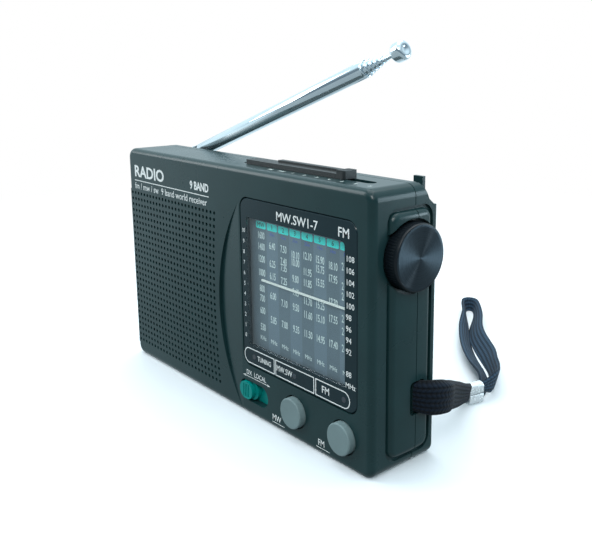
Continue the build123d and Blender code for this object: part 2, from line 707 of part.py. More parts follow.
def battery_cells():
    cells = []
    for i in range(2):
        start = CELL_START + i * (CELL_LEN + NUB_LEN)
        can = rod_x((start, start + CELL_LEN), CELL_Y, CELL_Z, CELL_R)
        can = fillet(can.edges().filter_by(GeomType.CIRCLE), 0.5)
        nub = rod_x((start + CELL_LEN, start + CELL_LEN + NUB_LEN), CELL_Y, CELL_Z, 2.7)
        cells.append(one(can + nub))
    return Compound(cells)


def contact_plate():
    end = CELL_START + 2 * (CELL_LEN + NUB_LEN)
    return block((end, end + 0.4), (-3.0, 8.0), (4.0, 15.0))


def contact_spring():
    """A coil spring between the left wall and the first cell."""
    wire = 0.3
    turns = 3
    length = CELL_START + INNER_SIDE - 2 * wire - 0.1
    coil = Helix(pitch=length / turns, height=length, radius=4.0)
    path = Pos(-INNER_SIDE + wire + 0.05, CELL_Y, CELL_Z) * Rot(0, 90, 0) * coil
    section = Plane(path @ 0, z_dir=path % 0) * Circle(wire)
    return one(sweep(section, path=path, is_frenet=True))


def battery_door(case):
    door = case & block((-80, DOOR_RIGHT), (INNER_REAR, REAR + 1), (DOOR_LOW, DOOR_HIGH))
    for ridge in range(6):
        x = -46.0 + 1.4 * ridge
        door -= block((x, x + 0.7), (REAR - 0.5, REAR + 1), (DOOR_LOW + 3, DOOR_HIGH - 3))
    return one(door)


def case_screws():
    screws = []
    for x, z in SCREWS:
        screw = rod_y(x, (-2.0, HEAD_SEAT), z, SCREW_R) + rod_y(x, (HEAD_SEAT, HEAD_SEAT + 1.3), z, HEAD_R)
        top = HEAD_SEAT + 1.3
        for turn in (45, -45):
            bar = Pos(x, top, z) * Rot(0, turn, 0) * Box(2.2, 1.2, 0.45)
            screw -= bar
        screws.append(one(screw))
    return Compound(screws)


# --- telescopic aerial --------------------------------------------------------------------------------

def along_aerial(shape):
    """Puts a shape made along +X from the origin on the aerial's raised axis."""
    return Pos(*PIVOT) * Rot(0, -RAISED, 0) * shape


def antenna_swivel():
    x, y, z = PIVOT
    stem = rod_z(x, y, (BAY_Z - 6.6, BAY_Z + 0.1), SWIVEL_R)
    head = rod_z(x, y, (BAY_Z + 0.05, z + 2.5), HEAD_TURN_R)
    gap = block((x - 4, x + 4), (y - TONGUE_T / 2 - 0.1, y + TONGUE_T / 2 + 0.1), (BAY_Z + 0.3, z + 4))
    return one(stem + head - gap - rod_y(x, (y - 5, y + 5), z, PIN_R))


def antenna_pivot_pin():
    x, y, z = PIVOT
    return rod_y(x, (y - 2.75, y + 2.75), z, PIN_R) & rod_z(x, y, (z - 2, z + 2), HEAD_TURN_R)


def main_tube():
    """The outer tube with the flat tongue that turns on the pivot pin."""
    tongue = block((0, TUBE_START + 2), (-TONGUE_T / 2, TONGUE_T / 2), (-2.1, 2.1))
    tongue += rod_y(0, (-TONGUE_T / 2, TONGUE_T / 2), 0, 2.1)
    plug = rod_x((TUBE_START, TUBE_START + 3), 0, 0, TUBE_R[0])
    outer = rod_x((TUBE_START + 3, MAIN_LEN), 0, 0, TUBE_R[0])
    bore = rod_x((TUBE_START + 3, MAIN_LEN + 1), 0, 0, TUBE_R[0] - TUBE_WALL[0])
    return one(along_aerial(tongue + plug + outer - bore - rod_y(0, (-5, 5), 0, PIN_R + RUN_CLEARANCE)))


def inner_tube(index):
    """A telescoping section; each one sticks out of the one round it by the same step."""
    start = TUBE_START + 3.2 + 0.6 * index
    end = MAIN_LEN + TUBE_STEP * index
    radius = TUBE_R[index]
    tube = rod_x((start, end), 0, 0, radius) - rod_x((start - 1, end + 1), 0, 0, radius - TUBE_WALL[index])
    return one(along_aerial(tube))


def tip_start():
    return MAIN_LEN + TUBE_STEP * (len(TUBE_R) - 1) + ROD_SHOWN


def antenna_rod():
    return one(along_aerial(rod_x((TUBE_START + 7.2, tip_start()), 0, 0, ROD_R)))


def antenna_tip():
    tip = rod_x((tip_start(), tip_start() + TIP_LEN), 0, 0, TIP_R)
    tip = fillet(tip.edges().filter_by(GeomType.CIRCLE), 0.7)
    return one(along_aerial(tip))


# --- wrist strap ---------------------------------------------------------------------------------------

def strap_radii(route):
    """The largest arc that the two runs at each corner allow."""
    points = [Vector(*p) for p in route]
    radii = []
    for before, corner, after in zip(points, points[1:], points[2:]):
        arriving = corner - before
        leaving = after - corner
        turn = math.radians(arriving.get_angle(leaving))
        radii.append(0.45 * min(arriving.length, leaving.length) / math.tan(turn / 2))
    return radii


def strap_tube(route, name):
    radii = strap_radii(route)
    path = FilletPolyline(*route, radius=radii)
    section = Plane(path @ 0, z_dir=path % 0) * Circle(STRAP_TUBE_R)
    tube = one(sweep(section, path=path))
    expected = math.pi * STRAP_TUBE_R ** 2 * path.length
    print(name, "length", round(path.length, 1), "volume ratio", round(tube.volume / expected, 3),
          "radii", [round(r, 1) for r in radii])
    return tube


def strap_crimp():
    """The folded metal sleeve that holds the strap's ends."""
    start = Vector(*CRIMP_START)
    end = Vector(*CRIMP_END)
    place = Plane((start + end) * 0.5, x_dir=(0, 0, 1), z_dir=end - start)
    body = Box(CRIMP_TALL, CRIMP_THICK, (end - start).length)
    body = fillet(body.edges().filter_by(Axis.Z), 1.2)
    return one(place * body)


def build():
    case = case_block()
    cuts = case_cuts()
    save(front_shell(case, cuts), "front_shell")
    save(rear_shell(case, cuts), "rear_shell")
    save(battery_door(case), "battery_door")
    save(speaker_grille(), "speaker_grille")
    save(dial_lens(), "dial_lens")
    save(dial_scale(), "dial_scale")
    save(dial_pointer(), "dial_pointer")
    save(rod_z(RAIL_X, RAIL_Y, (13.0, 66.0), RAIL_R), "pointer_rail")
    save(idler(IDLER_HIGH), "upper_idler")
    save(idler(IDLER_LOW), "lower_idler")
    save(idler_pins(), "idler_pins")
    save(drum(), "dial_drum")
    save(dial_cord(), "dial_cord")
    save(capacitor_shaft(), "capacitor_shaft")
    save(tuning_capacitor(), "tuning_capacitor")
    save(tuning_knob(), "tuning_knob")
    save(tuning_shaft(), "tuning_shaft")
    save(shaft_bracket(), "shaft_bracket")
    save(press_button(MW_BUTTON_X), "mw_button")
    save(press_button(FM_BUTTON_X), "fm_button")
    save(press_switch(MW_BUTTON_X), "mw_switch")
    save(press_switch(FM_BUTTON_X), "fm_switch")
    save(dx_knob(), "dx_switch_knob")
    save(dx_switch_body(), "dx_switch_body")
    save(switch_board(), "switch_board")
    for x, name in zip(LED_XS, ("tuning_led", "mw_led", "fm_led")):
        save(led(x), name)
    save(band_slider(), "band_slider")
    save(band_switch_body(), "band_switch_body")
    save(main_board(), "main_board")
    save(speaker_frame(), "speaker_frame")
    save(speaker_cone(), "speaker_cone")
    save(speaker_magnet(), "speaker_magnet")
    save(ferrite_rod(), "ferrite_rod")
    save(antenna_coil(), "antenna_coil")
    save(rod_holder(), "rod_holder")
    save(transformers(), "if_transformers")
    save(receiver_chip(), "receiver_chip")
    save(electrolytics(), "electrolytic_capacitors")
    save(volume_wheel(), "volume_wheel")
    save(volume_pot(), "volume_pot")
    save(earphone_jack(), "earphone_jack")
    save(battery_cells(), "battery_cells")
    save(contact_plate(), "contact_plate")
    save(contact_spring(), "contact_spring")
    save(case_screws(), "case_screws")
    save(antenna_swivel(), "antenna_swivel")
    save(antenna_pivot_pin(), "antenna_pivot_pin")
    save(main_tube(), "antenna_tube_1")
    for index in range(1, 6):
        save(inner_tube(index), "antenna_tube_" + str(index + 1))
    save(antenna_rod(), "antenna_rod")
    save(antenna_tip(), "antenna_tip")
    save(strap_tube(LEAD_ROUTE, "strap lead"), "strap_lead")
    save(strap_tube(LOOP_ROUTE, "strap loop"), "strap_loop")
    save(strap_crimp(), "strap_crimp")


build()
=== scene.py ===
import json
import math

import bmesh
import bpy
from mathutils import Matrix, Vector


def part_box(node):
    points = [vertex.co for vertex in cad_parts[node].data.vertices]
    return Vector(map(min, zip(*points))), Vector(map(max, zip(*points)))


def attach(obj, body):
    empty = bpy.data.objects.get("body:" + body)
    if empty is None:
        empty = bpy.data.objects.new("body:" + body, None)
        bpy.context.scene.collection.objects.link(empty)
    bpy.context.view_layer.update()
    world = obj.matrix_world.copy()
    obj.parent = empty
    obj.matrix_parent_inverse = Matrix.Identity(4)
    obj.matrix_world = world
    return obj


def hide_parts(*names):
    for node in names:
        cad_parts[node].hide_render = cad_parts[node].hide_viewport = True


# A pocket world-band receiver, in metres. +Z up, the front faces -Y.

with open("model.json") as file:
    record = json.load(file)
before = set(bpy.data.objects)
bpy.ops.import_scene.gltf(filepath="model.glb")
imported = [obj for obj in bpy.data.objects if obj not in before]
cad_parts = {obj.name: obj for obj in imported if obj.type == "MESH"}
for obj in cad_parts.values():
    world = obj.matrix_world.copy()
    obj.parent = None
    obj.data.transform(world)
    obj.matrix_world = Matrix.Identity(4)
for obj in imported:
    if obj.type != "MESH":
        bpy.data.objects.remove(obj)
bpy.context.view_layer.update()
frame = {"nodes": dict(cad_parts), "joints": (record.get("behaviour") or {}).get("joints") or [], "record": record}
nodes = frame["nodes"]

MM = 0.001
PRINT_T = 0.03 * MM

shell_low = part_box("front_shell")[0]
FRONT_Y = shell_low.y
LEFT_X = shell_low.x
TOP_Z = 72 * MM
lens_low, lens_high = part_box("dial_lens")
scale_low, scale_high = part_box("dial_scale")
knob_low, knob_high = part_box("tuning_knob")
crimp_low, crimp_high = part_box("strap_crimp")


# --- small helpers --------------------------------------------------------------------------------

def add_object(name, mesh, material, body, replaced=()):
    """Links a mesh as a piece that rides on a body and stands for the replaced nodes."""
    piece = bpy.data.objects.new(name, mesh)
    bpy.context.scene.collection.objects.link(piece)
    if material is not None:
        mesh.materials.clear()
        mesh.materials.append(material)
    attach(piece, body)
    for node in replaced:
        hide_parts(node)
    return piece


def mesh_from(bm, name, smooth_angle=40):
    """A mesh with outward normals, smooth except across edges sharper than smooth_angle."""
    bmesh.ops.recalc_face_normals(bm, faces=bm.faces)
    limit = math.radians(smooth_angle)
    for edge in bm.edges:
        edge.smooth = len(edge.link_faces) == 2 and edge.calc_face_angle(0) < limit
    for face in bm.faces:
        face.smooth = True
    mesh = bpy.data.meshes.new(name)
    bm.to_mesh(mesh)
    bm.free()
    return mesh


def revolve(bm, profile, segments, place):
    """Turns a closed profile of (along, radius) points about the X axis of place."""
    rings = []
    for step in range(segments):
        angle = 2 * math.pi * step / segments
        ring = []
        for along, radius in profile:
            point = Vector((along, radius * math.cos(angle), radius * math.sin(angle)))
            ring.append(bm.verts.new(place @ point))
        rings.append(ring)
    count = len(profile)
    for step in range(segments):
        here = rings[step]
        there = rings[(step + 1) % segments]
        for i in range(count):
            j = (i + 1) % count
            bm.faces.new((here[i], here[j], there[j], there[i]))
    bmesh.ops.remove_doubles(bm, verts=bm.verts, dist=1e-7)
    bmesh.ops.dissolve_degenerate(bm, edges=bm.edges, dist=1e-8)


def arc(centre, radius, start, end, steps):
    """Points of an arc in the (along, radius) plane, angles in degrees."""
    points = []
    for i in range(steps + 1):
        angle = math.radians(start + (end - start) * i / steps)
        points.append((centre[0] + radius * math.cos(angle), centre[1] + radius * math.sin(angle)))
    return points


def rounded_outline(x, z, radii, steps=8):
    """A rectangle's outline in XZ with its own radius at each corner, from low left round by low right."""
    corners = (
        (x[0], z[0], radii[0], 180),
        (x[1], z[0], radii[1], 270),
        (x[1], z[1], radii[2], 0),
        (x[0], z[1], radii[3], 90),
    )
    outline = []
    for cx, cz, radius, start in corners:
        ax = cx + radius if cx == x[0] else cx - radius
        az = cz + radius if cz == z[0] else cz - radius
        for i in range(steps + 1):
            angle = math.radians(start + 90 * i / steps)
            outline.append((ax + radius * math.cos(angle), az + radius * math.sin(angle)))
    return outline


def plate_from(bm, outline, y):
    """A solid plate between y[0] and y[1] with the outline given in XZ."""
    front = [bm.verts.new((x, y[0], z)) for x, z in outline]
    back = [bm.verts.new((x, y[1], z)) for x, z in outline]
    bm.faces.new(front)
    bm.faces.new(list(reversed(back)))
    for i in range(len(outline)):
        j = (i + 1) % len(outline)
        bm.faces.new((front[i], back[i], back[j], front[j]))


def frame_from(bm, outer, inner, y):
    """A solid ring plate between two outlines that have the same number of points."""
    loops = [[bm.verts.new((x, depth, z)) for x, z in outline] for outline in (outer, inner) for depth in y]
    outer_front, outer_back, inner_front, inner_back = loops
    count = len(outer)
    for i in range(count):
        j = (i + 1) % count
        bm.faces.new((outer_front[i], outer_front[j], inner_front[j], inner_front[i]))
        bm.faces.new((outer_back[i], outer_back[j], inner_back[j], inner_back[i]))
        bm.faces.new((outer_front[i], outer_front[j], outer_back[j], outer_back[i]))
        bm.faces.new((inner_front[i], inner_front[j], inner_back[j], inner_back[i]))


# --- materials ------------------------------------------------------------------------------------

class Nodes:
    """A node material under construction."""

    def __init__(self, name):
        self.material = bpy.data.materials.new(name)
        self.material.use_nodes = True
        tree = self.material.node_tree
        self.nodes = tree.nodes
        self.links = tree.links
        self.shader = self.nodes["Principled BSDF"]
        self.output = self.nodes["Material Output"]

    def add(self, kind, **settings):
        node = self.nodes.new(kind)
        for key, value in settings.items():
            setattr(node, key, value)
        return node

    def position(self):
        return self.add("ShaderNodeTexCoord").outputs["Object"]

    def noise(self, vector, scale, detail=3.0, roughness=0.55):
        node = self.add("ShaderNodeTexNoise")
        node.inputs["Scale"].default_value = scale
        node.inputs["Detail"].default_value = detail
        node.inputs["Roughness"].default_value = roughness
        self.links.new(vector, node.inputs["Vector"])
        return node.outputs["Fac"]

    def ramp(self, value, stops):
        node = self.add("ShaderNodeValToRGB")
        elements = node.color_ramp.elements
        while len(elements) < len(stops):
            elements.new(0.5)
        for element, (position, colour) in zip(elements, stops):
            element.position = position
            element.color = (*colour, 1)
        self.links.new(value, node.inputs["Fac"])
        return node.outputs["Color"]

    def spread(self, value, low, high):
        node = self.add("ShaderNodeMapRange")
        node.inputs["To Min"].default_value = low
        node.inputs["To Max"].default_value = high
        self.links.new(value, node.inputs["Value"])
        return node.outputs["Result"]

    def math(self, operation, first, second=None):
        node = self.add("ShaderNodeMath", operation=operation)
        for socket, value in zip(node.inputs, (first, second)):
            if value is None:
                continue
            if isinstance(value, (int, float)):
                socket.default_value = value
            else:
                self.links.new(value, socket)
        return node.outputs["Value"]

    def scaled(self, vector, scale):
        node = self.add("ShaderNodeMapping")
        node.inputs["Scale"].default_value = scale
        self.links.new(vector, node.inputs["Vector"])
        return node.outputs["Vector"]

    def bump(self, height, strength, distance):
        node = self.add("ShaderNodeBump")
        node.inputs["Strength"].default_value = strength
        node.inputs["Distance"].default_value = distance
        self.links.new(height, node.inputs["Height"])
        self.links.new(node.outputs["Normal"], self.shader.inputs["Normal"])

    def set(self, **values):
        for key, value in values.items():
            self.shader.inputs[key.replace("_", " ")].default_value = value

    def colour(self, socket):
        self.links.new(socket, self.shader.inputs["Base Color"])

    def rough(self, socket):
        self.links.new(socket, self.shader.inputs["Roughness"])


def shade(colour, factor):
    return tuple(min(1.0, c * factor) for c in colour)


def plastic(name, colour, rough=(0.38, 0.48), grain=0.12, grain_scale=2600, specular=0.5):
    """Moulded plastic: a fine spark-eroded grain, faint mottling and handled patches."""
    m = Nodes(name)
    place = m.position()
    mottle = m.noise(place, 90, 4)
    m.colour(m.ramp(mottle, ((0.3, shade(colour, 0.9)), (0.7, shade(colour, 1.1)))))
    handled = m.noise(place, 35, 5)
    m.rough(m.spread(handled, *rough))
    m.set(**{"Specular_IOR_Level": specular})
    m.bump(m.noise(place, grain_scale, 2), grain, 0.05 * MM)
    return m.material


def metal(name, colour, rough=(0.2, 0.32), stretch=(1, 1, 1), grain=0.05, metallic=1.0):
    """Metal with faint drawn or ground lines along the axis that stretch makes long."""
    m = Nodes(name)
    place = m.position()
    lines = m.noise(m.scaled(place, stretch), 900, 4)
    m.colour(m.ramp(lines, ((0.25, shade(colour, 0.9)), (0.75, shade(colour, 1.06)))))
    m.rough(m.spread(m.noise(place, 140, 3), *rough))
    m.set(Metallic=metallic)
    m.bump(lines, grain, 0.02 * MM)
    return m.material


def printed(name, colour):
    """Pad-printed ink, a little broken where it is thin."""
    m = Nodes(name)
    place = m.position()
    speckle = m.noise(place, 3200, 2)
    m.colour(m.ramp(speckle, ((0.28, shade(colour, 0.72)), (0.5, colour))))
    m.rough(m.spread(speckle, 0.5, 0.62))
    return m.material


def case_material():
    return plastic("case_plastic", (0.0095, 0.033, 0.0355), rough=(0.23, 0.32), grain=0.12, specular=0.33)


def window_material():
    """Clear acrylic: what is behind shows straight through, with a faint reflection."""
    m = Nodes("window_clear")
    m.nodes.remove(m.shader)
    clear = m.add("ShaderNodeBsdfTransparent")
    clear.inputs["Color"].default_value = (0.96, 0.985, 0.99, 1)
    gloss = m.add("ShaderNodeBsdfGlossy")
    gloss.inputs["Color"].default_value = (1, 1, 1, 1)
    smear = m.noise(m.position(), 160, 4)
    m.links.new(m.spread(smear, 0.03, 0.09), gloss.inputs["Roughness"])
    facing = m.add("ShaderNodeLayerWeight").outputs["Facing"]
    grazing = m.math("MULTIPLY", m.math("POWER", facing, 5.0), 0.9)
    mix = m.add("ShaderNodeMixShader")
    m.links.new(m.math("ADD", grazing, 0.035), mix.inputs["Fac"])
    m.links.new(clear.outputs["BSDF"], mix.inputs[1])
    m.links.new(gloss.outputs["BSDF"], mix.inputs[2])
    m.links.new(mix.outputs["Shader"], m.output.inputs["Surface"])
    return m.material


def border_material():
    return plastic("window_border", (0.006, 0.02, 0.026), rough=(0.12, 0.22), grain=0.02, grain_scale=900,
                   specular=0.3)


def scale_material():
    """The slate card under the window, its columns a little lighter in turn."""
    m = Nodes("scale_card")
    place = m.position()
    split = m.add("ShaderNodeSeparateXYZ")
    m.links.new(place, split.inputs["Vector"])
    start = COLUMN_X - COLUMN_STEP / 2
    turn = m.math("DIVIDE", m.math("SUBTRACT", split.outputs["X"], start), 2 * COLUMN_STEP)
    stripe = m.math("GREATER_THAN", m.math("FRACT", turn), 0.5)
    right = m.math("GREATER_THAN", split.outputs["X"], start)
    stripe = m.math("MULTIPLY", stripe, right)
    mottle = m.math("MULTIPLY", m.noise(place, 260, 4), 0.35)
    m.colour(m.ramp(m.math("ADD", m.math("MULTIPLY", stripe, 0.5), mottle),
                    ((0.1, (0.125, 0.17, 0.2)), (0.7, (0.165, 0.222, 0.268)))))
    m.rough(m.spread(mottle, 0.5, 0.62))
    return m.material


def knob_material():
    """A spun disc: its highlights run out from the middle."""
    m = Nodes("knob_spun")
    place = m.position()
    split = m.add("ShaderNodeSeparateXYZ")
    m.links.new(place, split.inputs["Vector"])
    up = m.math("SUBTRACT", split.outputs["Z"], KNOB_CENTRE.z)
    across = m.math("SUBTRACT", split.outputs["Y"], KNOB_CENTRE.y)
    radius = m.math("SQRT", m.math("ADD", m.math("MULTIPLY", up, up), m.math("MULTIPLY", across, across)))
    rings = m.add("ShaderNodeTexNoise", noise_dimensions="1D")
    rings.inputs["Scale"].default_value = 5200
    rings.inputs["Detail"].default_value = 3
    m.links.new(radius, rings.inputs["W"])
    m.colour(m.ramp(rings.outputs["Fac"], ((0.3, (0.032, 0.045, 0.056)), (0.7, (0.055, 0.075, 0.092)))))
    m.set(Metallic=0.9, Anisotropic=0.95, Roughness=0.46)
    tangent = m.add("ShaderNodeTangent", direction_type="RADIAL", axis="X")
    m.links.new(tangent.outputs["Tangent"], m.shader.inputs["Tangent"])
    m.bump(rings.outputs["Fac"], 0.12, 0.02 * MM)
    return m.material


def webbing_material(name, colour, ribs, weave):
    """Woven nylon tape: ribs along it and yarns across them, from the tape's own UV map, its colour darkened by
    painted shade in the weave's hollows and lit by painted highlight on its crests.
    """
    m = Nodes(name)
    uv = m.add("ShaderNodeUVMap", uv_map="tape").outputs["UV"]
    split = m.add("ShaderNodeSeparateXYZ")
    m.links.new(uv, split.inputs["Vector"])
    along = m.math("MULTIPLY", split.outputs["X"], weave)
    across = m.math("MULTIPLY", split.outputs["Y"], ribs)
    rib = m.math("ABSOLUTE", m.math("SINE", m.math("MULTIPLY", across, math.pi)))
    lean = m.math("PINGPONG", across, 1.0)
    yarn = m.math("ABSOLUTE", m.math("SINE", m.math("ADD", along, m.math("MULTIPLY", lean, 2.2))))
    height = m.math("ADD", m.math("MULTIPLY", rib, 0.75), m.math("MULTIPLY", yarn, 0.35))
    fuzz = m.noise(m.position(), 3500, 3)
    # Painted shade and highlight: colour follows the weave's relief height, dark in its hollows and bright on its
    # crests, plus random fuzz.
    weave_shade_and_highlight = m.math("ADD", m.math("MULTIPLY", height, 0.7), m.math("MULTIPLY", fuzz, 0.35))
    m.colour(m.ramp(weave_shade_and_highlight, ((0.15, shade(colour, 0.3)), (0.6, colour), (1.0, shade(colour, 2.6)))))
    m.rough(m.spread(fuzz, 0.7, 0.9))
    m.set(**{"Sheen_Weight": 0.05, "Sheen_Roughness": 0.4, "Specular_IOR_Level": 0.18})
    m.bump(height, 0.9, 0.28 * MM)
    return m.material


def lamp_material(name, colour):
    m = Nodes(name)
    place = m.position()
    m.colour(m.ramp(m.noise(place, 700, 2), ((0.3, shade(colour, 0.8)), (0.7, colour))))
    m.rough(m.spread(m.noise(place, 300, 2), 0.12, 0.22))
    m.set(**{"Subsurface_Weight": 0.25, "Subsurface_Scale": 0.4 * MM})
    return m.material


def board_material():
    """Green solder mask with copper tracks showing faintly under it."""
    m = Nodes("circuit_board")
    place = m.position()
    cells = m.add("ShaderNodeTexVoronoi", feature="DISTANCE_TO_EDGE")
    cells.inputs["Scale"].default_value = 420
    m.links.new(place, cells.inputs["Vector"])
    m.colour(m.ramp(cells.outputs["Distance"], ((0.05, (0.03, 0.16, 0.07)), (0.12, (0.015, 0.085, 0.035)))))
    m.rough(m.spread(m.noise(place, 200, 3), 0.3, 0.45))
    m.bump(cells.outputs["Distance"], 0.3, 0.03 * MM)
    return m.material


def jacket_material():
    """A printed cell jacket: a dark body with a copper-coloured end band."""
    m = Nodes("cell_jacket")
    place = m.position()
    split = m.add("ShaderNodeSeparateXYZ")
    m.links.new(place, split.inputs["Vector"])
    cells_low, cells_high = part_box("battery_cells")
    pitch = (cells_high.x - cells_low.x) / 2
    turn = m.math("FRACT", m.math("DIVIDE", m.math("SUBTRACT", split.outputs["X"], cells_low.x), pitch))
    m.colour(m.ramp(turn, ((0.66, (0.02, 0.022, 0.026)), (0.67, (0.55, 0.3, 0.12)))))
    m.rough(m.spread(m.noise(place, 260, 3), 0.22, 0.35))
    m.set(Metallic=0.6)
    return m.material


# --- measures read from the frame -----------------------------------------------------------------

COLUMN_X = scale_low.x + 7.1 * MM
COLUMN_STEP = 4.97 * MM
KNOB_CENTRE = (knob_low + knob_high) / 2

CASE = case_material()
INK = printed("white_ink", (0.82, 0.85, 0.84))
INK_SCALE = printed("scale_ink", (0.82, 0.9, 0.87))
INK_TEAL = printed("turquoise_ink", (0.05, 0.98, 0.86))
INK_DARK = printed("dark_ink", (0.012, 0.05, 0.05))
INK_BLUE = printed("blue_ink", (0.08, 0.13, 0.5))
CHROME = metal("aerial_chrome", (0.8, 0.9, 0.98), rough=(0.05, 0.09), stretch=(0.01, 0.3, 0.3), grain=0.0,
               metallic=0.88)
STEEL = metal("plated_steel", (0.6, 0.61, 0.62), rough=(0.24, 0.36))


# --- camera, floor and light ----------------------------------------------------------------------

CAMERA_PLACE = (181.26 * MM, -130.18 * MM, 100.78 * MM)
CAMERA_FORWARD = Vector((-0.7261, 0.6587, -0.1971))
CAMERA_ROLL = math.radians(-0.09)
CAMERA_LENS = 46.88
CAMERA_SHIFT = (-0.0848, -0.1083)
BACKWARD = (-0.74, 0.67, 0.0)


def make_camera():
    """Stands at the right front corner and looks slightly down, close enough for a strong perspective."""
    camera = bpy.data.objects.new("camera", bpy.data.cameras.new("camera"))
    bpy.context.scene.collection.objects.link(camera)
    camera.data.sensor_width = 36
    camera.data.lens = CAMERA_LENS
    camera.data.shift_x, camera.data.shift_y = CAMERA_SHIFT
    camera.data.clip_start = 0.01
    camera.location = CAMERA_PLACE
    turn = CAMERA_FORWARD.to_track_quat("-Z", "Y").to_matrix().to_4x4()
    camera.rotation_euler = (turn @ Matrix.Rotation(CAMERA_ROLL, 4, "Z")).to_euler()
    bpy.context.scene.camera = camera


FLOOR_HALF = 6.0
FLOOR_DROP = 0.02 * MM
FADE_FROM, FADE_TO = 0.05, 0.42
BOUNCE_FROM, BOUNCE_TO = -0.04, 0.15
BOUNCE_LEAST = 0.42


def floor_material():
    """A matt white sweep that turns into the tent's own white away from the object.

    What the object sees of it is a glow, not the floor's lit white: painted light that falls off towards the
    camera's side, as in front of a tent's opening.
    """
    m = Nodes("pale_floor")
    place = m.position()
    m.colour(m.ramp(m.noise(place, 3, 3), ((0.3, (0.84, 0.88, 0.91)), (0.7, (0.87, 0.91, 0.94)))))
    m.rough(m.spread(m.noise(place, 30, 3), 0.55, 0.7))
    length = m.add("ShaderNodeVectorMath", operation="LENGTH")
    m.links.new(place, length.inputs[0])
    fade = m.add("ShaderNodeMapRange", interpolation_type="SMOOTHSTEP")
    fade.inputs["From Min"].default_value = FADE_FROM
    fade.inputs["From Max"].default_value = FADE_TO
    m.links.new(length.outputs["Value"], fade.inputs["Value"])
    glow = m.add("ShaderNodeEmission")
    seen = m.add("ShaderNodeMixShader")
    m.links.new(fade.outputs["Result"], seen.inputs["Fac"])
    m.links.new(m.shader.outputs["BSDF"], seen.inputs[1])
    m.links.new(glow.outputs["Emission"], seen.inputs[2])
    depth = m.add("ShaderNodeVectorMath", operation="DOT_PRODUCT")
    depth.inputs[1].default_value = BACKWARD
    m.links.new(place, depth.inputs[0])
    sweep = m.add("ShaderNodeMapRange", interpolation_type="SMOOTHSTEP")
    sweep.inputs["From Min"].default_value = BOUNCE_FROM
    sweep.inputs["From Max"].default_value = BOUNCE_TO
    sweep.inputs["To Min"].default_value = BOUNCE_LEAST
    sweep.inputs["To Max"].default_value = 1.0
    m.links.new(depth.outputs["Value"], sweep.inputs["Value"])
    # Painted light: for every ray but the camera's the floor glows, weaker towards the camera's side.
    bounce = m.add("ShaderNodeEmission")
    bounce.inputs["Color"].default_value = (0.79, 0.96, 1.03, 1)
    m.links.new(sweep.outputs["Result"], bounce.inputs["Strength"])
    mix = m.add("ShaderNodeMixShader")
    m.links.new(m.add("ShaderNodeLightPath").outputs["Is Camera Ray"], mix.inputs["Fac"])
    m.links.new(bounce.outputs["Emission"], mix.inputs[1])
    m.links.new(seen.outputs["Shader"], mix.inputs[2])
    m.links.new(mix.outputs["Shader"], m.output.inputs["Surface"])
    return m.material


def make_floor():
    """A plane that reaches well past the view, a hair below the object's lowest point."""
    bm = bmesh.new()
    bmesh.ops.create_grid(bm, x_segments=8, y_segments=8, size=FLOOR_HALF)
    mesh = mesh_from(bm, "floor")
    mesh.materials.append(floor_material())
    floor = bpy.data.objects.new("floor", mesh)
    floor.location.z = -FLOOR_DROP
    bpy.context.scene.collection.objects.link(floor)


def area_light(name, place, size, energy, colour, target):
    data = bpy.data.lights.new(name, "AREA")
    data.shape = "RECTANGLE"
    data.size, data.size_y = size
    data.energy = energy
    data.color = colour
    light = bpy.data.objects.new(name, data)
    bpy.context.scene.collection.objects.link(light)
    light.location = place
    light.rotation_euler = (Vector(target) - Vector(place)).to_track_quat("-Z", "Y").to_euler()


def make_world():
    """A light tent: white above and behind, dimmer low down on the camera's side."""
    world = bpy.data.worlds.new("tent")
    bpy.context.scene.world = world
    world.use_nodes = True
    tree_nodes = world.node_tree.nodes
    links = world.node_tree.links
    sky = tree_nodes["Background"]
    direction = tree_nodes.new("ShaderNodeTexCoord").outputs["Generated"]
    split = tree_nodes.new("ShaderNodeSeparateXYZ")
    links.new(direction, split.inputs["Vector"])
    behind = tree_nodes.new("ShaderNodeVectorMath")
    behind.operation = "DOT_PRODUCT"
    behind.inputs[1].default_value = BACKWARD
    links.new(direction, behind.inputs[0])
    ranges = []
    for source, low, high in ((split.outputs["Z"], 0.3, 0.62), (behind.outputs["Value"], -0.1, 0.6)):
        node = tree_nodes.new("ShaderNodeMapRange")
        node.interpolation_type = "SMOOTHSTEP"
        node.inputs["From Min"].default_value = low
        node.inputs["From Max"].default_value = high
        links.new(source, node.inputs["Value"])
        ranges.append(node.outputs["Result"])
    bright = tree_nodes.new("ShaderNodeMath")
    bright.operation = "MAXIMUM"
    links.new(ranges[0], bright.inputs[0])
    links.new(ranges[1], bright.inputs[1])
    mix = tree_nodes.new("ShaderNodeMix")
    mix.data_type = "RGBA"
    mix.inputs["A"].default_value = (0.09, 0.14, 0.18, 1)
    mix.inputs["B"].default_value = (0.8, 0.98, 1.06, 1)
    links.new(bright.outputs["Value"], mix.inputs["Factor"])
    seen = tree_nodes.new("ShaderNodeMix")
    seen.data_type = "RGBA"
    seen.inputs["B"].default_value = (1.0, 1.0, 1.0, 1)
    links.new(mix.outputs["Result"], seen.inputs["A"])
    links.new(tree_nodes.new("ShaderNodeLightPath").outputs["Is Camera Ray"], seen.inputs["Factor"])
    links.new(seen.outputs["Result"], sky.inputs["Color"])
    sky.inputs["Strength"].default_value = 1.0


MIDDLE = (0, 0.02, 0.03)
RIGHT_SIDE = (0.06, 0.0, 0.035)
# name, place, size, energy, colour, what it points at
SOFTBOXES = (
    ("overhead", (-0.1, 0.15, 0.9), (0.9, 0.9), 5.2, (0.95, 0.98, 1.0), MIDDLE),
    ("camera_side", (0.55, -0.5, 0.62), (0.3, 0.3), 3.4, (1.0, 0.99, 0.97), MIDDLE),
    ("left_box", (-0.75, -0.55, 0.5), (0.5, 0.6), 4.2, (0.94, 0.98, 1.0), MIDDLE),
    ("rear_edge", (0.41, 0.47, 0.11), (0.22, 0.26), 1.5, (0.72, 0.9, 1.0), RIGHT_SIDE),
)


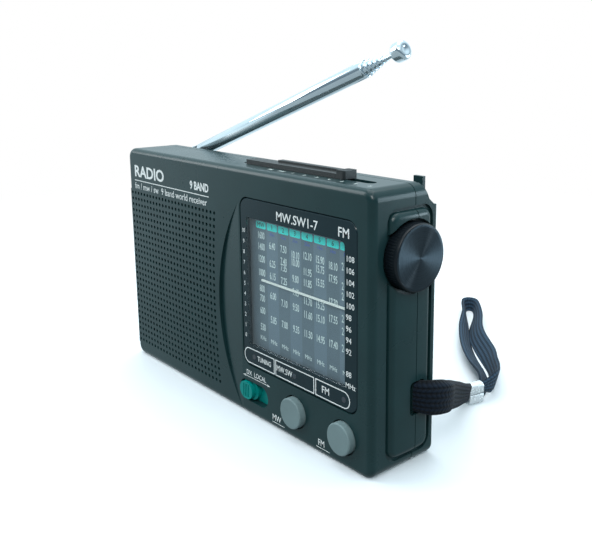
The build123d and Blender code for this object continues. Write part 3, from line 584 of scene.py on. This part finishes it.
def make_lights():
    make_world()
    for softbox in SOFTBOXES:
        area_light(*softbox)
    scene = bpy.context.scene
    scene.view_settings.view_transform = "Standard"
    scene.view_settings.look = "None"


# --- wrist strap ----------------------------------------------------------------------------------

LEAD_ROUTE = (
    (59.2, 4.2, 18.2),
    (61.8, 5.0, 18.2),
    (63.2, 10.6, 17.2),
    (57.6, 18.6, 13.4),
    (52.8, 26.6, 9.2),
    (49.2, 34.2, 5.8),
    (46.9, 40.1, 3.8),
)
LOOP_ROUTE = (
    (48.0, 44.6, 4.7),
    (49.0, 49.0, 4.8),
    (46.4, 55.0, 4.0),
    (41.0, 61.2, 2.8),
    (35.0, 67.4, 2.0),
    (28.4, 73.6, 1.8),
    (21.6, 79.0, 1.8),
    (15.0, 84.8, 1.8),
    (9.2, 91.6, 1.8),
    (3.8, 99.4, 1.8),
    (-2.8, 107.6, 1.8),
    (-6.6, 111.0, 1.8),
    (-9.4, 110.6, 1.8),
    (-9.8, 107.8, 1.8),
    (-6.4, 103.8, 1.8),
    (0.0, 96.8, 1.8),
    (7.4, 87.2, 1.8),
    (16.0, 77.0, 1.8),
    (24.6, 68.6, 1.8),
    (32.2, 62.6, 1.8),
    (38.6, 57.6, 1.9),
    (44.4, 51.2, 2.1),
    (48.0, 44.6, 2.2),
)

CRIMP_START = Vector((46.9, 40.1, 3.4)) * MM
CRIMP_END = Vector((48.1, 44.9, 3.4)) * MM
LOWEST = 0.15 * MM
SHEET_T = 0.35 * MM


def route_line(name, route):
    """Points read from the route's own NURBS spline."""
    curve = bpy.data.curves.new(name, "CURVE")
    curve.dimensions = "3D"
    spline = curve.splines.new("NURBS")
    spline.points.add(len(route) - 1)
    for point, place in zip(spline.points, route):
        point.co = (place[0] * MM, place[1] * MM, place[2] * MM, 1)
    spline.order_u = 3
    spline.use_endpoint_u = True
    spline.resolution_u = 10
    holder = bpy.data.objects.new(name, curve)
    bpy.context.scene.collection.objects.link(holder)
    bpy.context.view_layer.update()
    sampled = bpy.data.meshes.new_from_object(holder)
    points = [vertex.co.copy() for vertex in sampled.vertices]
    bpy.data.objects.remove(holder)
    bpy.data.curves.remove(curve)
    bpy.data.meshes.remove(sampled)
    return points


def measured(points):
    """The distance along the line at each point."""
    along = [0.0]
    for before, after in zip(points, points[1:]):
        along.append(along[-1] + (after - before).length)
    return along


def tape_mesh(name, points, width, thick, lean, columns=8):
    """A flat tape swept along points. lean gives its tilt from upright, in degrees, along its length."""
    along = measured(points)
    total = along[-1]
    bm = bmesh.new()
    uv = bm.loops.layers.uv.new("tape")
    rings = []
    for i, point in enumerate(points):
        ahead = points[min(i + 1, len(points) - 1)]
        back = points[max(i - 1, 0)]
        heading = (ahead - back).normalized()
        level = heading.cross(Vector((0, 0, 1))).normalized()
        upright = level.cross(heading).normalized()
        tilt = math.radians(lean(along[i] / total))
        broad = upright * math.cos(tilt) + level * math.sin(tilt)
        flat = heading.cross(broad).normalized()
        half = width(along[i] / total) / 2
        deep = thick(along[i] / total) / 2
        ring = []
        for side in (1, -1):
            for step in range(columns + 1):
                t = -1 + 2 * step / columns
                t *= side
                edge = math.sqrt(max(0.0, 1 - abs(t) ** 6))
                offset = broad * (half * t) + flat * (side * deep * max(edge, 0.25))
                ring.append((point + offset, (t + 1) / 2))
        rings.append([(bm.verts.new(place), across, along[i]) for place, across in ring])
    count = len(rings[0])
    for here, there in zip(rings, rings[1:]):
        for i in range(count):
            j = (i + 1) % count
            corners = (here[i], here[j], there[j], there[i])
            face = bm.faces.new([corner[0] for corner in corners])
            for loop, corner in zip(face.loops, corners):
                loop[uv].uv = (corner[2] / MM, corner[1])
    for ring in (rings[0], rings[-1]):
        face = bm.faces.new([corner[0] for corner in ring])
        for loop, corner in zip(face.loops, ring):
            loop[uv].uv = (corner[2] / MM, corner[1])
    for vertex in bm.verts:
        vertex.co.z = max(vertex.co.z, LOWEST)
    return mesh_from(bm, name, 60)


def blend_values(stops):
    """A function that runs smoothly through (position, value) stops."""
    def at(t):
        for (start, low), (end, high) in zip(stops, stops[1:]):
            if t <= end:
                share = (t - start) / (end - start)
                share = share * share * (3 - 2 * share)
                return low + (high - low) * share
        return stops[-1][1]
    return at


def make_strap():
    lead_material = webbing_material("strap_braid", (0.0022, 0.0048, 0.0095), 7, 3.6)
    loop_material = webbing_material("strap_tape", (0.016, 0.032, 0.052), 5, 2.4)
    lead_points = route_line("lead_route", LEAD_ROUTE)
    width = blend_values(((0.0, 8.2 * MM), (0.1, 9.0 * MM), (0.3, 8.0 * MM), (0.7, 7.8 * MM),
                          (1.0, 5.9 * MM)))
    thick = blend_values(((0.0, 4.4 * MM), (0.16, 4.6 * MM), (0.45, 2.9 * MM), (1.0, 2.3 * MM)))
    lead = tape_mesh("strap_braid", lead_points, width, thick, blend_values(((0, 0), (1, 12))), 14)
    lead = add_object("strap_braid", lead, lead_material, "case", ("strap_lead",))
    loop_points = route_line("loop_route", LOOP_ROUTE)
    width = blend_values(((0.0, 3.6 * MM), (0.04, 7.2 * MM), (0.96, 7.2 * MM), (1.0, 3.6 * MM)))
    lean = blend_values(((0.0, 8), (0.12, 22), (0.22, 48), (0.36, 40), (0.5, 12), (0.56, 12),
                         (0.7, 35), (0.86, 48), (1.0, 8)))
    loop = tape_mesh("strap_tape", loop_points, width, blend_values(((0.0, 1.1 * MM), (1.0, 1.1 * MM))), lean)
    loop = add_object("strap_tape", loop, loop_material, "case", ("strap_loop",))


def crimp_material():
    m = Nodes("crimp_metal")
    place = m.position()
    scratches = m.noise(m.scaled(place, (0.3, 1, 1)), 1600, 4)
    m.colour(m.ramp(scratches, ((0.25, (0.8, 0.86, 0.9)), (0.75, (0.94, 0.98, 1.0)))))
    m.rough(m.spread(scratches, 0.18, 0.34))
    m.set(Metallic=0.5)
    m.bump(scratches, 0.1, 0.03 * MM)
    return m.material


def crimp_section():
    """The folded sheet's outer and inner lines, as (out, up) points from one lip of the seam to the other."""
    half_tall = (crimp_high.z - crimp_low.z) / 2
    half_thick = 1.6 * MM
    corner = 1.2 * MM
    lip = half_thick - 0.25 * MM
    seam = 0.14 * MM
    fold = seam + 0.3 * MM
    bends = []
    for cx, cz, first in ((half_thick, half_tall, 0), (-half_thick, half_tall, 90),
                          (-half_thick, -half_tall, 180), (half_thick, -half_tall, 270)):
        ax = cx - math.copysign(corner, cx)
        az = cz - math.copysign(corner, cz)
        for i in range(9):
            angle = math.radians(first + 90 * i / 8)
            bends.append((ax, az, math.cos(angle), math.sin(angle)))
    lines = []
    for inset in (0.0, SHEET_T):
        reach = corner - inset
        face = half_thick - inset
        line = [(lip - inset, seam), (face, fold)]
        line += [(ax + reach * c, az + reach * s) for ax, az, c, s in bends]
        line += [(face, -fold), (lip - inset, -seam)]
        lines.append(line)
    return lines


def make_crimp():
    """A strip of sheet folded round the tape, its two edges meeting in a seam on the outer face."""
    heading = (CRIMP_END - CRIMP_START).normalized()
    level = heading.cross(Vector((0, 0, 1))).normalized()
    length = (CRIMP_END - CRIMP_START).length
    outer, inner = crimp_section()
    softened = 0.12 * MM
    stations = ((0.0, 0.14), (softened, 0.0), (length - softened, 0.0), (length, 0.14))
    bm = bmesh.new()
    rings = []
    for distance, shrink in stations:
        centre = CRIMP_START + heading * distance
        ring = []
        for (ox, oz), (ix, iz) in zip(outer, inner):
            mid_x, mid_z = (ox + ix) / 2, (oz + iz) / 2
            for x, z in ((ox, oz), (ix, iz)):
                x += (mid_x - x) * shrink
                z += (mid_z - z) * shrink
                ring.append(bm.verts.new(centre + level * x + Vector((0, 0, z))))
        rings.append(ring)
    count = len(outer)
    for here, there in zip(rings, rings[1:]):
        for i in range(count - 1):
            a, b, c, d = 2 * i, 2 * i + 1, 2 * i + 3, 2 * i + 2
            bm.faces.new((here[a], here[d], there[d], there[a]))
            bm.faces.new((here[b], there[b], there[c], here[c]))
        for i in (0, count - 1):
            bm.faces.new((here[2 * i], there[2 * i], there[2 * i + 1], here[2 * i + 1]))
    for ring in (rings[0], rings[-1]):
        for i in range(count - 1):
            bm.faces.new((ring[2 * i], ring[2 * i + 1], ring[2 * i + 3], ring[2 * i + 2]))
    add_object("strap_sleeve", mesh_from(bm, "strap_sleeve"), crimp_material(), "case",
               ("strap_crimp",))


# --- lettering ------------------------------------------------------------------------------------

def letters_into(bm, text, place, cap, squeeze=1.0, align="CENTER", bold=0.0):
    """Adds a line of text. place maps text space, X along and Y up, to its position on the object."""
    curve = bpy.data.curves.new("line", "FONT")
    curve.body = text
    curve.size = cap / 0.73
    curve.align_x = align
    curve.align_y = "CENTER"
    curve.extrude = PRINT_T / 2
    curve.offset = bold
    curve.resolution_u = 3
    holder = bpy.data.objects.new("line", curve)
    bpy.context.scene.collection.objects.link(holder)
    bpy.context.view_layer.update()
    line = bpy.data.meshes.new_from_object(holder)
    line.transform(place @ Matrix.Diagonal((squeeze, 1, 1, 1)))
    bm.from_mesh(line)
    bpy.data.objects.remove(holder)
    bpy.data.curves.remove(curve)
    bpy.data.meshes.remove(line)


def on_front(x, z, y):
    """Text space to the front: along +X, up +Z, its thickness just proud of y."""
    return Matrix.Translation((x, y - PRINT_T / 2, z)) @ Matrix.Rotation(math.radians(90), 4, "X")


def on_top(x, y, z):
    return Matrix.Translation((x, y, z + PRINT_T / 2))


def print_piece(name, bm, ink):
    bmesh.ops.remove_doubles(bm, verts=bm.verts, dist=1e-7)
    mesh = mesh_from(bm, name, 30)
    return add_object(name, mesh, ink, "case")


def line_box(bm, x, z, y):
    """A thin printed bar on a front-facing surface."""
    plate_from(bm, [(x[0], z[0]), (x[1], z[0]), (x[1], z[1]), (x[0], z[1])], (y - PRINT_T, y))


# --- window and dial ------------------------------------------------------------------------------

BORDER_LEFT = lens_low.x + 2.9 * MM
BORDER_RIGHT = lens_high.x - 4.6 * MM
BORDER_LOW = lens_low.z + 6.3 * MM
BORDER_HIGH = lens_high.z - 5.5 * MM
LENS_Y = lens_low.y
SCALE_Y = scale_low.y


def make_window():
    """A clear pane with a black printed border round it, both under one glossy face."""
    edge = 0.16 * MM
    outer = rounded_outline((lens_low.x + edge, lens_high.x - edge), (lens_low.z + edge, lens_high.z - edge),
                            (3.15 * MM,) * 4, 10)
    inner = rounded_outline((BORDER_LEFT, BORDER_RIGHT), (BORDER_LOW, BORDER_HIGH),
                            (0.3 * MM, 0.3 * MM, 1.2 * MM, 0.3 * MM), 10)
    soft = 0.4 * MM
    bevel = rounded_outline((lens_low.x + soft, lens_high.x - soft), (lens_low.z + soft, lens_high.z - soft),
                            (2.9 * MM,) * 4, 10)
    bm = bmesh.new()
    back_y = lens_high.y
    loops = []
    for outline, depth in ((bevel, LENS_Y), (outer, LENS_Y + 0.25 * MM), (outer, back_y), (inner, back_y),
                           (inner, LENS_Y)):
        loops.append([bm.verts.new((x, depth, z)) for x, z in outline])
    count = len(outer)
    for here, there in zip(loops, loops[1:] + loops[:1]):
        for i in range(count):
            j = (i + 1) % count
            bm.faces.new((here[i], here[j], there[j], there[i]))
    add_object("window_border", mesh_from(bm, "window_border"), border_material(), "case",
               ("dial_lens",))
    pane = bmesh.new()
    gap = 0.02 * MM
    inside = rounded_outline((BORDER_LEFT + gap, BORDER_RIGHT - gap), (BORDER_LOW + gap, BORDER_HIGH - gap),
                             (0.3 * MM, 0.3 * MM, 1.2 * MM, 0.3 * MM), 10)
    plate_from(pane, inside, (LENS_Y, LENS_Y + 0.6 * MM))
    add_object("window_pane", mesh_from(pane, "window_pane"), window_material(), "case",
               ("dial_lens",))


BANDS = (
    ("MW", "", "KHz", (1600, 1400, 1200, 1000, 800, 700, 600, 530), 0.62),
    ("1", "49m", "MHz", (6.40, 6.25, 6.15, 6.00, 5.85), 0.85),
    ("2", "41m", "MHz", (7.50, 7.40, 7.35, 7.25, 7.10, 7.00), 0.78),
    ("3", "31m", "MHz", (10.10, 10.00, 9.80, 9.65, 9.50, 9.35), 0.75),
    ("4", "25m", "MHz", (12.10, 11.95, 11.85, 11.70, 11.60, 11.50), 0.78),
    ("5", "19m", "MHz", (15.90, 15.75, 15.55, 15.25, 15.10, 14.95), 0.73),
    ("6", "16m", "MHz", (18.10, 17.95, 17.70, 17.55, 17.40), 0.73),
    ("7", "13m", "MHz", (21.80, 21.70, 21.65, 21.55, 21.50, 21.45), 0.8),
)
HEAD_Z = 56.6 * MM
METRE_Z = 54.6 * MM
UNIT_Z = 24.0 * MM
DIGIT_CAP = 2.05 * MM
LAMP_R = 0.75 * MM


def band_rows(values, power, high, low):
    """Each value's height: the tuning gang crowds the low end of a band by a power law."""
    first, last = values[0], values[-1]
    return [(value, low + (high - low) * ((value - last) / (first - last)) ** power) for value in values]


def make_scale_printing():
    heads = bmesh.new()
    names = bmesh.new()
    numbers = bmesh.new()
    metres = bmesh.new()
    half = COLUMN_STEP * 0.45
    for column, (title, metre, unit, values, power) in enumerate(BANDS):
        x = COLUMN_X + column * COLUMN_STEP
        right = min(x + half, scale_high.x - 0.3 * MM)
        outline = rounded_outline((x - half, right), (HEAD_Z - 1.0 * MM, HEAD_Z + 1.0 * MM),
                                  (0.45 * MM,) * 4, 4)
        plate_from(heads, outline, (SCALE_Y - PRINT_T, SCALE_Y))
        letters_into(names, title, on_front(x, HEAD_Z, SCALE_Y - PRINT_T), 1.3 * MM)
        if metre:
            letters_into(metres, metre, on_front(x, METRE_Z, SCALE_Y), 1.0 * MM, 0.9)
        medium_wave = title == "MW"
        high, low = (53.6 * MM, 27.2 * MM) if medium_wave else (51.4 * MM, 30.4 * MM)
        if column % 3 == 0 and not medium_wave:
            high -= 0.6 * MM
        for value, z in band_rows(values, power, high, low):
            label = str(value) if medium_wave else "%.2f" % value
            letters_into(numbers, label, on_front(x, z, SCALE_Y), DIGIT_CAP, 0.56, "CENTER", 0.02 * MM)
        letters_into(numbers, unit, on_front(x, UNIT_Z, SCALE_Y), 1.3 * MM, 0.85)
    print_piece("band_boxes", heads, INK_TEAL)
    print_piece("band_names", names, INK_DARK)
    print_piece("metre_bands", metres, INK_BLUE)
    print_piece("scale_numbers", numbers, INK_SCALE)


def label_frame(bm, x, z, radii):
    line = 0.135 * MM
    outer = rounded_outline(x, z, radii, 10)
    inner = rounded_outline((x[0] + 2 * line, x[1] - 2 * line), (z[0] + 2 * line, z[1] - 2 * line),
                            [max(r - 2 * line, 0.02 * MM) for r in radii], 10)
    frame_from(bm, outer, inner, (LENS_Y - PRINT_T, LENS_Y))


def make_border_printing():
    bm = bmesh.new()
    left, right = lens_low.x, lens_high.x
    title_z = lens_high.z - 3.4 * MM
    letters_into(bm, "MW.SW1-7", on_front(left + 25.0 * MM, title_z, LENS_Y), 2.5 * MM, 1.02, "CENTER",
                 0.025 * MM)
    letters_into(bm, "FM", on_front(left + 43.0 * MM, title_z - 0.1 * MM, LENS_Y), 2.5 * MM, 1.0, "CENTER",
                 0.025 * MM)
    low, high = 25.5 * MM, 54.6 * MM
    for value in (108, 106, 104, 102, 100, 98, 96, 94, 92, 88):
        z = low + (high - low) * (value - 88) / 20
        letters_into(bm, str(value), on_front(BORDER_RIGHT + 0.4 * MM, z, LENS_Y), 1.5 * MM, 1.0, "LEFT",
                     0.005 * MM)
    letters_into(bm, "MHz", on_front(BORDER_RIGHT + 0.2 * MM, low - 2.9 * MM, LENS_Y), 1.4 * MM, 1.0, "LEFT",
                 0.01 * MM)
    for value in range(11):
        z = 24.2 * MM + 3.04 * MM * value
        letters_into(bm, str(value), on_front(left + 1.55 * MM, z, LENS_Y), 1.2 * MM, 0.9)
    box_z = (lens_low.z + 0.7 * MM, lens_low.z + 5.3 * MM)
    round_end, square = 2.25 * MM, 0.15 * MM
    edges = ((0.5, 14.6, (round_end, square, square, round_end)),
             (15.0, 31.5, (square,) * 4),
             (32.0, 45.2, (square, round_end, round_end, square)))
    for start, end, radii in edges:
        label_frame(bm, (left + start * MM, left + end * MM), box_z, radii)
    mid_z = sum(box_z) / 2
    for text, x, cap, width in (("TUNING", 9.9, 1.5, 0.8), ("MW.SW", 18.9, 1.75, 0.82),
                                ("FM", 36.0, 2.0, 0.9)):
        letters_into(bm, text, on_front(left + x * MM, mid_z, LENS_Y), cap * MM, width, "CENTER", 0.01 * MM)
    print_piece("window_printing", bm, INK)
    dots = bmesh.new()
    for node in ("tuning_led", "mw_led", "fm_led"):
        low_corner, high_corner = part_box(node)
        x = (low_corner.x + high_corner.x) / 2
        angles = [math.radians(15 * k) for k in range(24)]
        outline = [(x + LAMP_R * math.cos(angle), mid_z + LAMP_R * math.sin(angle)) for angle in angles]
        plate_from(dots, outline, (LENS_Y - PRINT_T, LENS_Y))
    lens = lamp_material("lamp_lens", (0.05, 0.06, 0.075))
    print_piece("lamp_windows", dots, lens)


def make_case_printing():
    bm = bmesh.new()
    left = LEFT_X + 4.2 * MM
    right = LEFT_X + 49.6 * MM
    letters_into(bm, "RADIO", on_front(left, 64.6 * MM, FRONT_Y), 3.8 * MM, 1.22, "LEFT", 0.12 * MM)
    letters_into(bm, "9 BAND", on_front(right, 64.0 * MM, FRONT_Y), 2.5 * MM, 0.85, "RIGHT", 0.1 * MM)
    line_box(bm, (left, right), (61.55 * MM, 61.8 * MM), FRONT_Y)
    letters_into(bm, "fm / mw / sw  9 band world receiver", on_front(left, 59.75 * MM, FRONT_Y),
                 2.2 * MM, 0.99, "LEFT", 0.0)
    dx_low, dx_high = 5.8 * MM, 18.6 * MM
    letters_into(bm, "DX  LOCAL", on_front(12.1 * MM, 12.95 * MM, FRONT_Y), 1.5 * MM, 0.88, "CENTER", 0.0)
    line_box(bm, (dx_low + 0.8 * MM, dx_high - 0.8 * MM), (11.72 * MM, 11.86 * MM), FRONT_Y)
    for tip, back in ((dx_low, dx_low + 1.2 * MM), (dx_high, dx_high - 1.2 * MM)):
        outline = [(tip, 11.79 * MM), (back, 11.45 * MM), (back, 12.13 * MM)]
        if tip < back:
            outline.reverse()
        plate_from(bm, outline, (FRONT_Y - PRINT_T, FRONT_Y))
    for text, node, step in (("MW", "mw_button", 8.1), ("FM", "fm_button", 8.4)):
        button_low, button_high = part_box(node)
        x = (button_low.x + button_high.x) / 2 - step * MM
        letters_into(bm, text, on_front(x, 3.3 * MM, FRONT_Y), 1.85 * MM, 0.86, "CENTER", 0.005 * MM)
        line_box(bm, (x - 2.0 * MM, x + 3.4 * MM), (1.88 * MM, 2.02 * MM), FRONT_Y)
    print_piece("front_printing", bm, INK)
    top = bmesh.new()
    for mark, text in enumerate(("FM", "MW", "1", "2", "3", "4", "5", "6", "7")):
        x = 15.7 * MM + mark * 4.78 * MM
        letters_into(top, text, on_top(x, -7.4 * MM, TOP_Z), 1.05 * MM, 1.0)
    print_piece("top_printing", top, INK_SCALE)


# --- knob -----------------------------------------------------------------------------------------

def make_knob():
    """A spun face in a narrow raised rim, on a finely ribbed dark skirt."""
    radius = (knob_high.z - knob_low.z) / 2
    inner_x, outer_x = knob_low.x, knob_high.x
    bm = bmesh.new()
    flutes = 72
    steps = flutes * 4
    stations = (
        (inner_x, 0.96, 0.0), (inner_x + 0.25 * MM, 1.0, 1.0), (outer_x - 1.35 * MM, 1.0, 1.0),
        (outer_x - 1.15 * MM, 0.985, 0.0), (outer_x - 0.9 * MM, 0.99, 0.0), (outer_x - 0.5 * MM, 0.985, 0.0),
        (outer_x - 0.2 * MM, 0.972, 0.0), (outer_x - 0.08 * MM, 0.958, 0.0),
    )
    rings = []
    for x, share, ribbed in stations:
        ring = []
        for step in range(steps):
            angle = 2 * math.pi * step / steps
            depth = (0.0, 0.5, 1.0, 0.5)[step % 4] * 0.022 * ribbed
            reach = radius * (share - depth)
            ring.append(bm.verts.new((x, KNOB_CENTRE.y + reach * math.cos(angle),
                                      KNOB_CENTRE.z + reach * math.sin(angle))))
        rings.append(ring)
    for here, there in zip(rings, rings[1:]):
        for i in range(steps):
            j = (i + 1) % steps
            bm.faces.new((here[i], here[j], there[j], there[i]))
    bm.faces.new(rings[0])
    bm.faces.new(rings[-1])
    skirt = plastic("knob_skirt", (0.005, 0.008, 0.011), rough=(0.28, 0.4), grain=0.05, specular=0.3)
    add_object("knob_skirt", mesh_from(bm, "knob_skirt", 50), skirt, "knob", ("tuning_knob",))
    face = bmesh.new()
    place = Matrix.Translation((outer_x - 0.3 * MM, KNOB_CENTRE.y, KNOB_CENTRE.z))
    dish = [(0.0, 0.0), (0.0, radius * 0.95), (0.24 * MM, radius * 0.95), (0.3 * MM, radius * 0.935)]
    dish += [(0.3 * MM - 0.002 * MM * step, radius * 0.935 * (1 - step / 16)) for step in range(1, 17)]
    revolve(face, dish, 128, place)
    add_object("knob_face", mesh_from(face, "knob_face"), knob_material(), "knob",
               ("tuning_knob",))


# --- aerial ---------------------------------------------------------------------------------------

def aerial_axis():
    """The pivot and the tilt, from the record's own tilt joint and the tip's place."""
    pivot = next(Vector(joint["pos_m"]) for joint in frame["joints"] if joint["name"] == "aerial_tilt")
    tip_low, tip_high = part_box("antenna_tip")
    tip = (tip_low + tip_high) / 2 - pivot
    return pivot, math.atan2(tip.z, tip.x)


PIVOT, TILT = aerial_axis()
AERIAL = Matrix.Translation(PIVOT) @ Matrix.Rotation(-TILT, 4, "Y")
TONGUE_END = 6.4 * MM


def along_span(node):
    """A CAD node's reach along the aerial and its largest radius."""
    back = AERIAL.inverted()
    points = [back @ vertex.co for vertex in nodes[node].data.vertices]
    radius = max(math.hypot(point.y, point.z) for point in points)
    return min(point.x for point in points), max(point.x for point in points), radius


def make_tube(index):
    """One drawn tube with its end rolled over into a bead."""
    node = "antenna_tube_%d" % index
    start, end, radius = along_span(node)
    wall = 0.2 * MM
    bore = radius - wall
    if index == 1:
        start = TONGUE_END - 0.2 * MM
    bead = min(0.45 * MM, radius * 0.35)
    skin = radius - 0.06 * MM
    outer = [(start, bore), (start, skin - 0.15 * MM), (start + 0.3 * MM, skin), (end - 2.2 * bead, skin)]
    outer += [(end - 2.0 * bead, skin - 0.07 * MM), (end - 1.7 * bead, skin - 0.07 * MM)]
    outer += arc((end - bead * 0.85, radius - bead * 0.55), bead * 0.6, 150, -20, 8)
    outer += [(end, bore + 0.06 * MM), (end, bore)]
    bm = bmesh.new()
    revolve(bm, outer, 48, AERIAL)
    add_object("aerial_section_%d" % index, mesh_from(bm, node, 50), CHROME, "aerial_%d" % index,
               (node,))


def make_tongue():
    """The flattened root of the first tube, which turns on the pivot pin."""
    bm = bmesh.new()
    half = 1.1 * MM
    reach = 2.05 * MM
    outline = [(reach * math.cos(math.radians(90 + 12 * k)), reach * math.sin(math.radians(90 + 12 * k)))
               for k in range(16)]
    outline += [(TONGUE_END, -reach), (TONGUE_END, reach)]
    plate_from(bm, outline, (-half, half))
    bmesh.ops.bevel(bm, geom=[e for e in bm.edges if abs(e.verts[0].co.y - e.verts[1].co.y) < 1e-9],
                    offset=0.25 * MM, segments=2, affect="EDGES")
    bmesh.ops.transform(bm, matrix=AERIAL, verts=bm.verts)
    add_object("aerial_root", mesh_from(bm, "aerial_root"), CHROME, "aerial_1",
               ("antenna_tube_1",))


def make_tip():
    """The rod's button: a short drum with broad rounded edges and a shallow end dimple."""
    start, end, radius = along_span("antenna_tip")
    soft = 0.9 * MM
    profile = [(start, 0.0), (start, radius - soft)]
    profile += arc((start + soft, radius - soft), soft, 180, 90, 8)
    profile += arc((end - soft, radius - soft), soft, 90, 0, 8)
    profile += [(end, radius * 0.45), (end - 0.12 * MM, radius * 0.3), (end - 0.15 * MM, 0.0)]
    bm = bmesh.new()
    revolve(bm, profile, 64, AERIAL)
    add_object("aerial_button", mesh_from(bm, "aerial_button", 50), CHROME, "aerial_7",
               ("antenna_tip",))


def make_aerial():
    for index in range(1, 7):
        make_tube(index)
    make_tongue()
    make_tip()


# --- finishes of the CAD nodes --------------------------------------------------------------------

def slot_materials():
    """One finish for each of the record's material slots."""
    return {
        "case_plastic": CASE,
        "window_plastic": border_material(),
        "scale_card": scale_material(),
        "pointer_cream": printed("pointer_cream", (1.0, 1.0, 0.93)),
        "teal_plastic": plastic("teal_plastic", (0.0, 0.22, 0.2), rough=(0.3, 0.4), grain=0.08,
                                specular=0.2),
        "grey_plastic": plastic("grey_plastic", (0.165, 0.232, 0.24), rough=(0.42, 0.52), grain=0.14,
                                specular=0.35),
        "knob_plastic": plastic("knob_plastic", (0.02, 0.022, 0.028), rough=(0.28, 0.4)),
        "dark_plastic": plastic("dark_plastic", (0.016, 0.02, 0.021), rough=(0.35, 0.46)),
        "plated_steel": STEEL,
        "aerial_chrome": CHROME,
        "strap_nylon": plastic("strap_core", (0.02, 0.024, 0.034), rough=(0.7, 0.85), grain=0.5),
        "crimp_metal": crimp_material(),
        "circuit_board": board_material(),
        "black_plastic": plastic("black_plastic", (0.012, 0.012, 0.013), rough=(0.32, 0.45)),
        "white_plastic": plastic("white_plastic", (0.62, 0.61, 0.56), rough=(0.35, 0.48)),
        "speaker_steel": metal("speaker_steel", (0.5, 0.51, 0.52), rough=(0.3, 0.42)),
        "cone_paper": plastic("cone_paper", (0.012, 0.012, 0.013), rough=(0.8, 0.95), grain=0.7,
                              grain_scale=900),
        "ferrite": plastic("ferrite", (0.025, 0.024, 0.024), rough=(0.5, 0.65), grain=0.4,
                           grain_scale=1500),
        "copper_wire": metal("copper_wire", (0.7, 0.3, 0.14), rough=(0.25, 0.4), stretch=(6, 1, 1),
                             grain=0.5),
        "turned_brass": metal("turned_brass", (0.75, 0.55, 0.25), rough=(0.22, 0.34), stretch=(1, 6, 1)),
        "cord_fibre": plastic("cord_fibre", (0.6, 0.57, 0.48), rough=(0.75, 0.9), grain=0.8,
                              grain_scale=4000),
        "cell_jacket": jacket_material(),
        "red_lamp": lamp_material("red_lamp", (0.35, 0.02, 0.015)),
        "green_lamp": lamp_material("green_lamp", (0.04, 0.28, 0.07)),
    }


def finish_cad_nodes():
    finishes = slot_materials()
    for part in frame["record"]["subparts"]:
        mesh = nodes[part["node"]].data
        mesh.materials.clear()
        mesh.materials.append(finishes[part["material_slot"]])


# --- the making -----------------------------------------------------------------------------------

make_camera()
make_strap()
make_crimp()
make_floor()
make_lights()
finish_cad_nodes()
make_window()
make_scale_printing()
make_border_printing()
make_case_printing()
make_knob()
make_aerial()
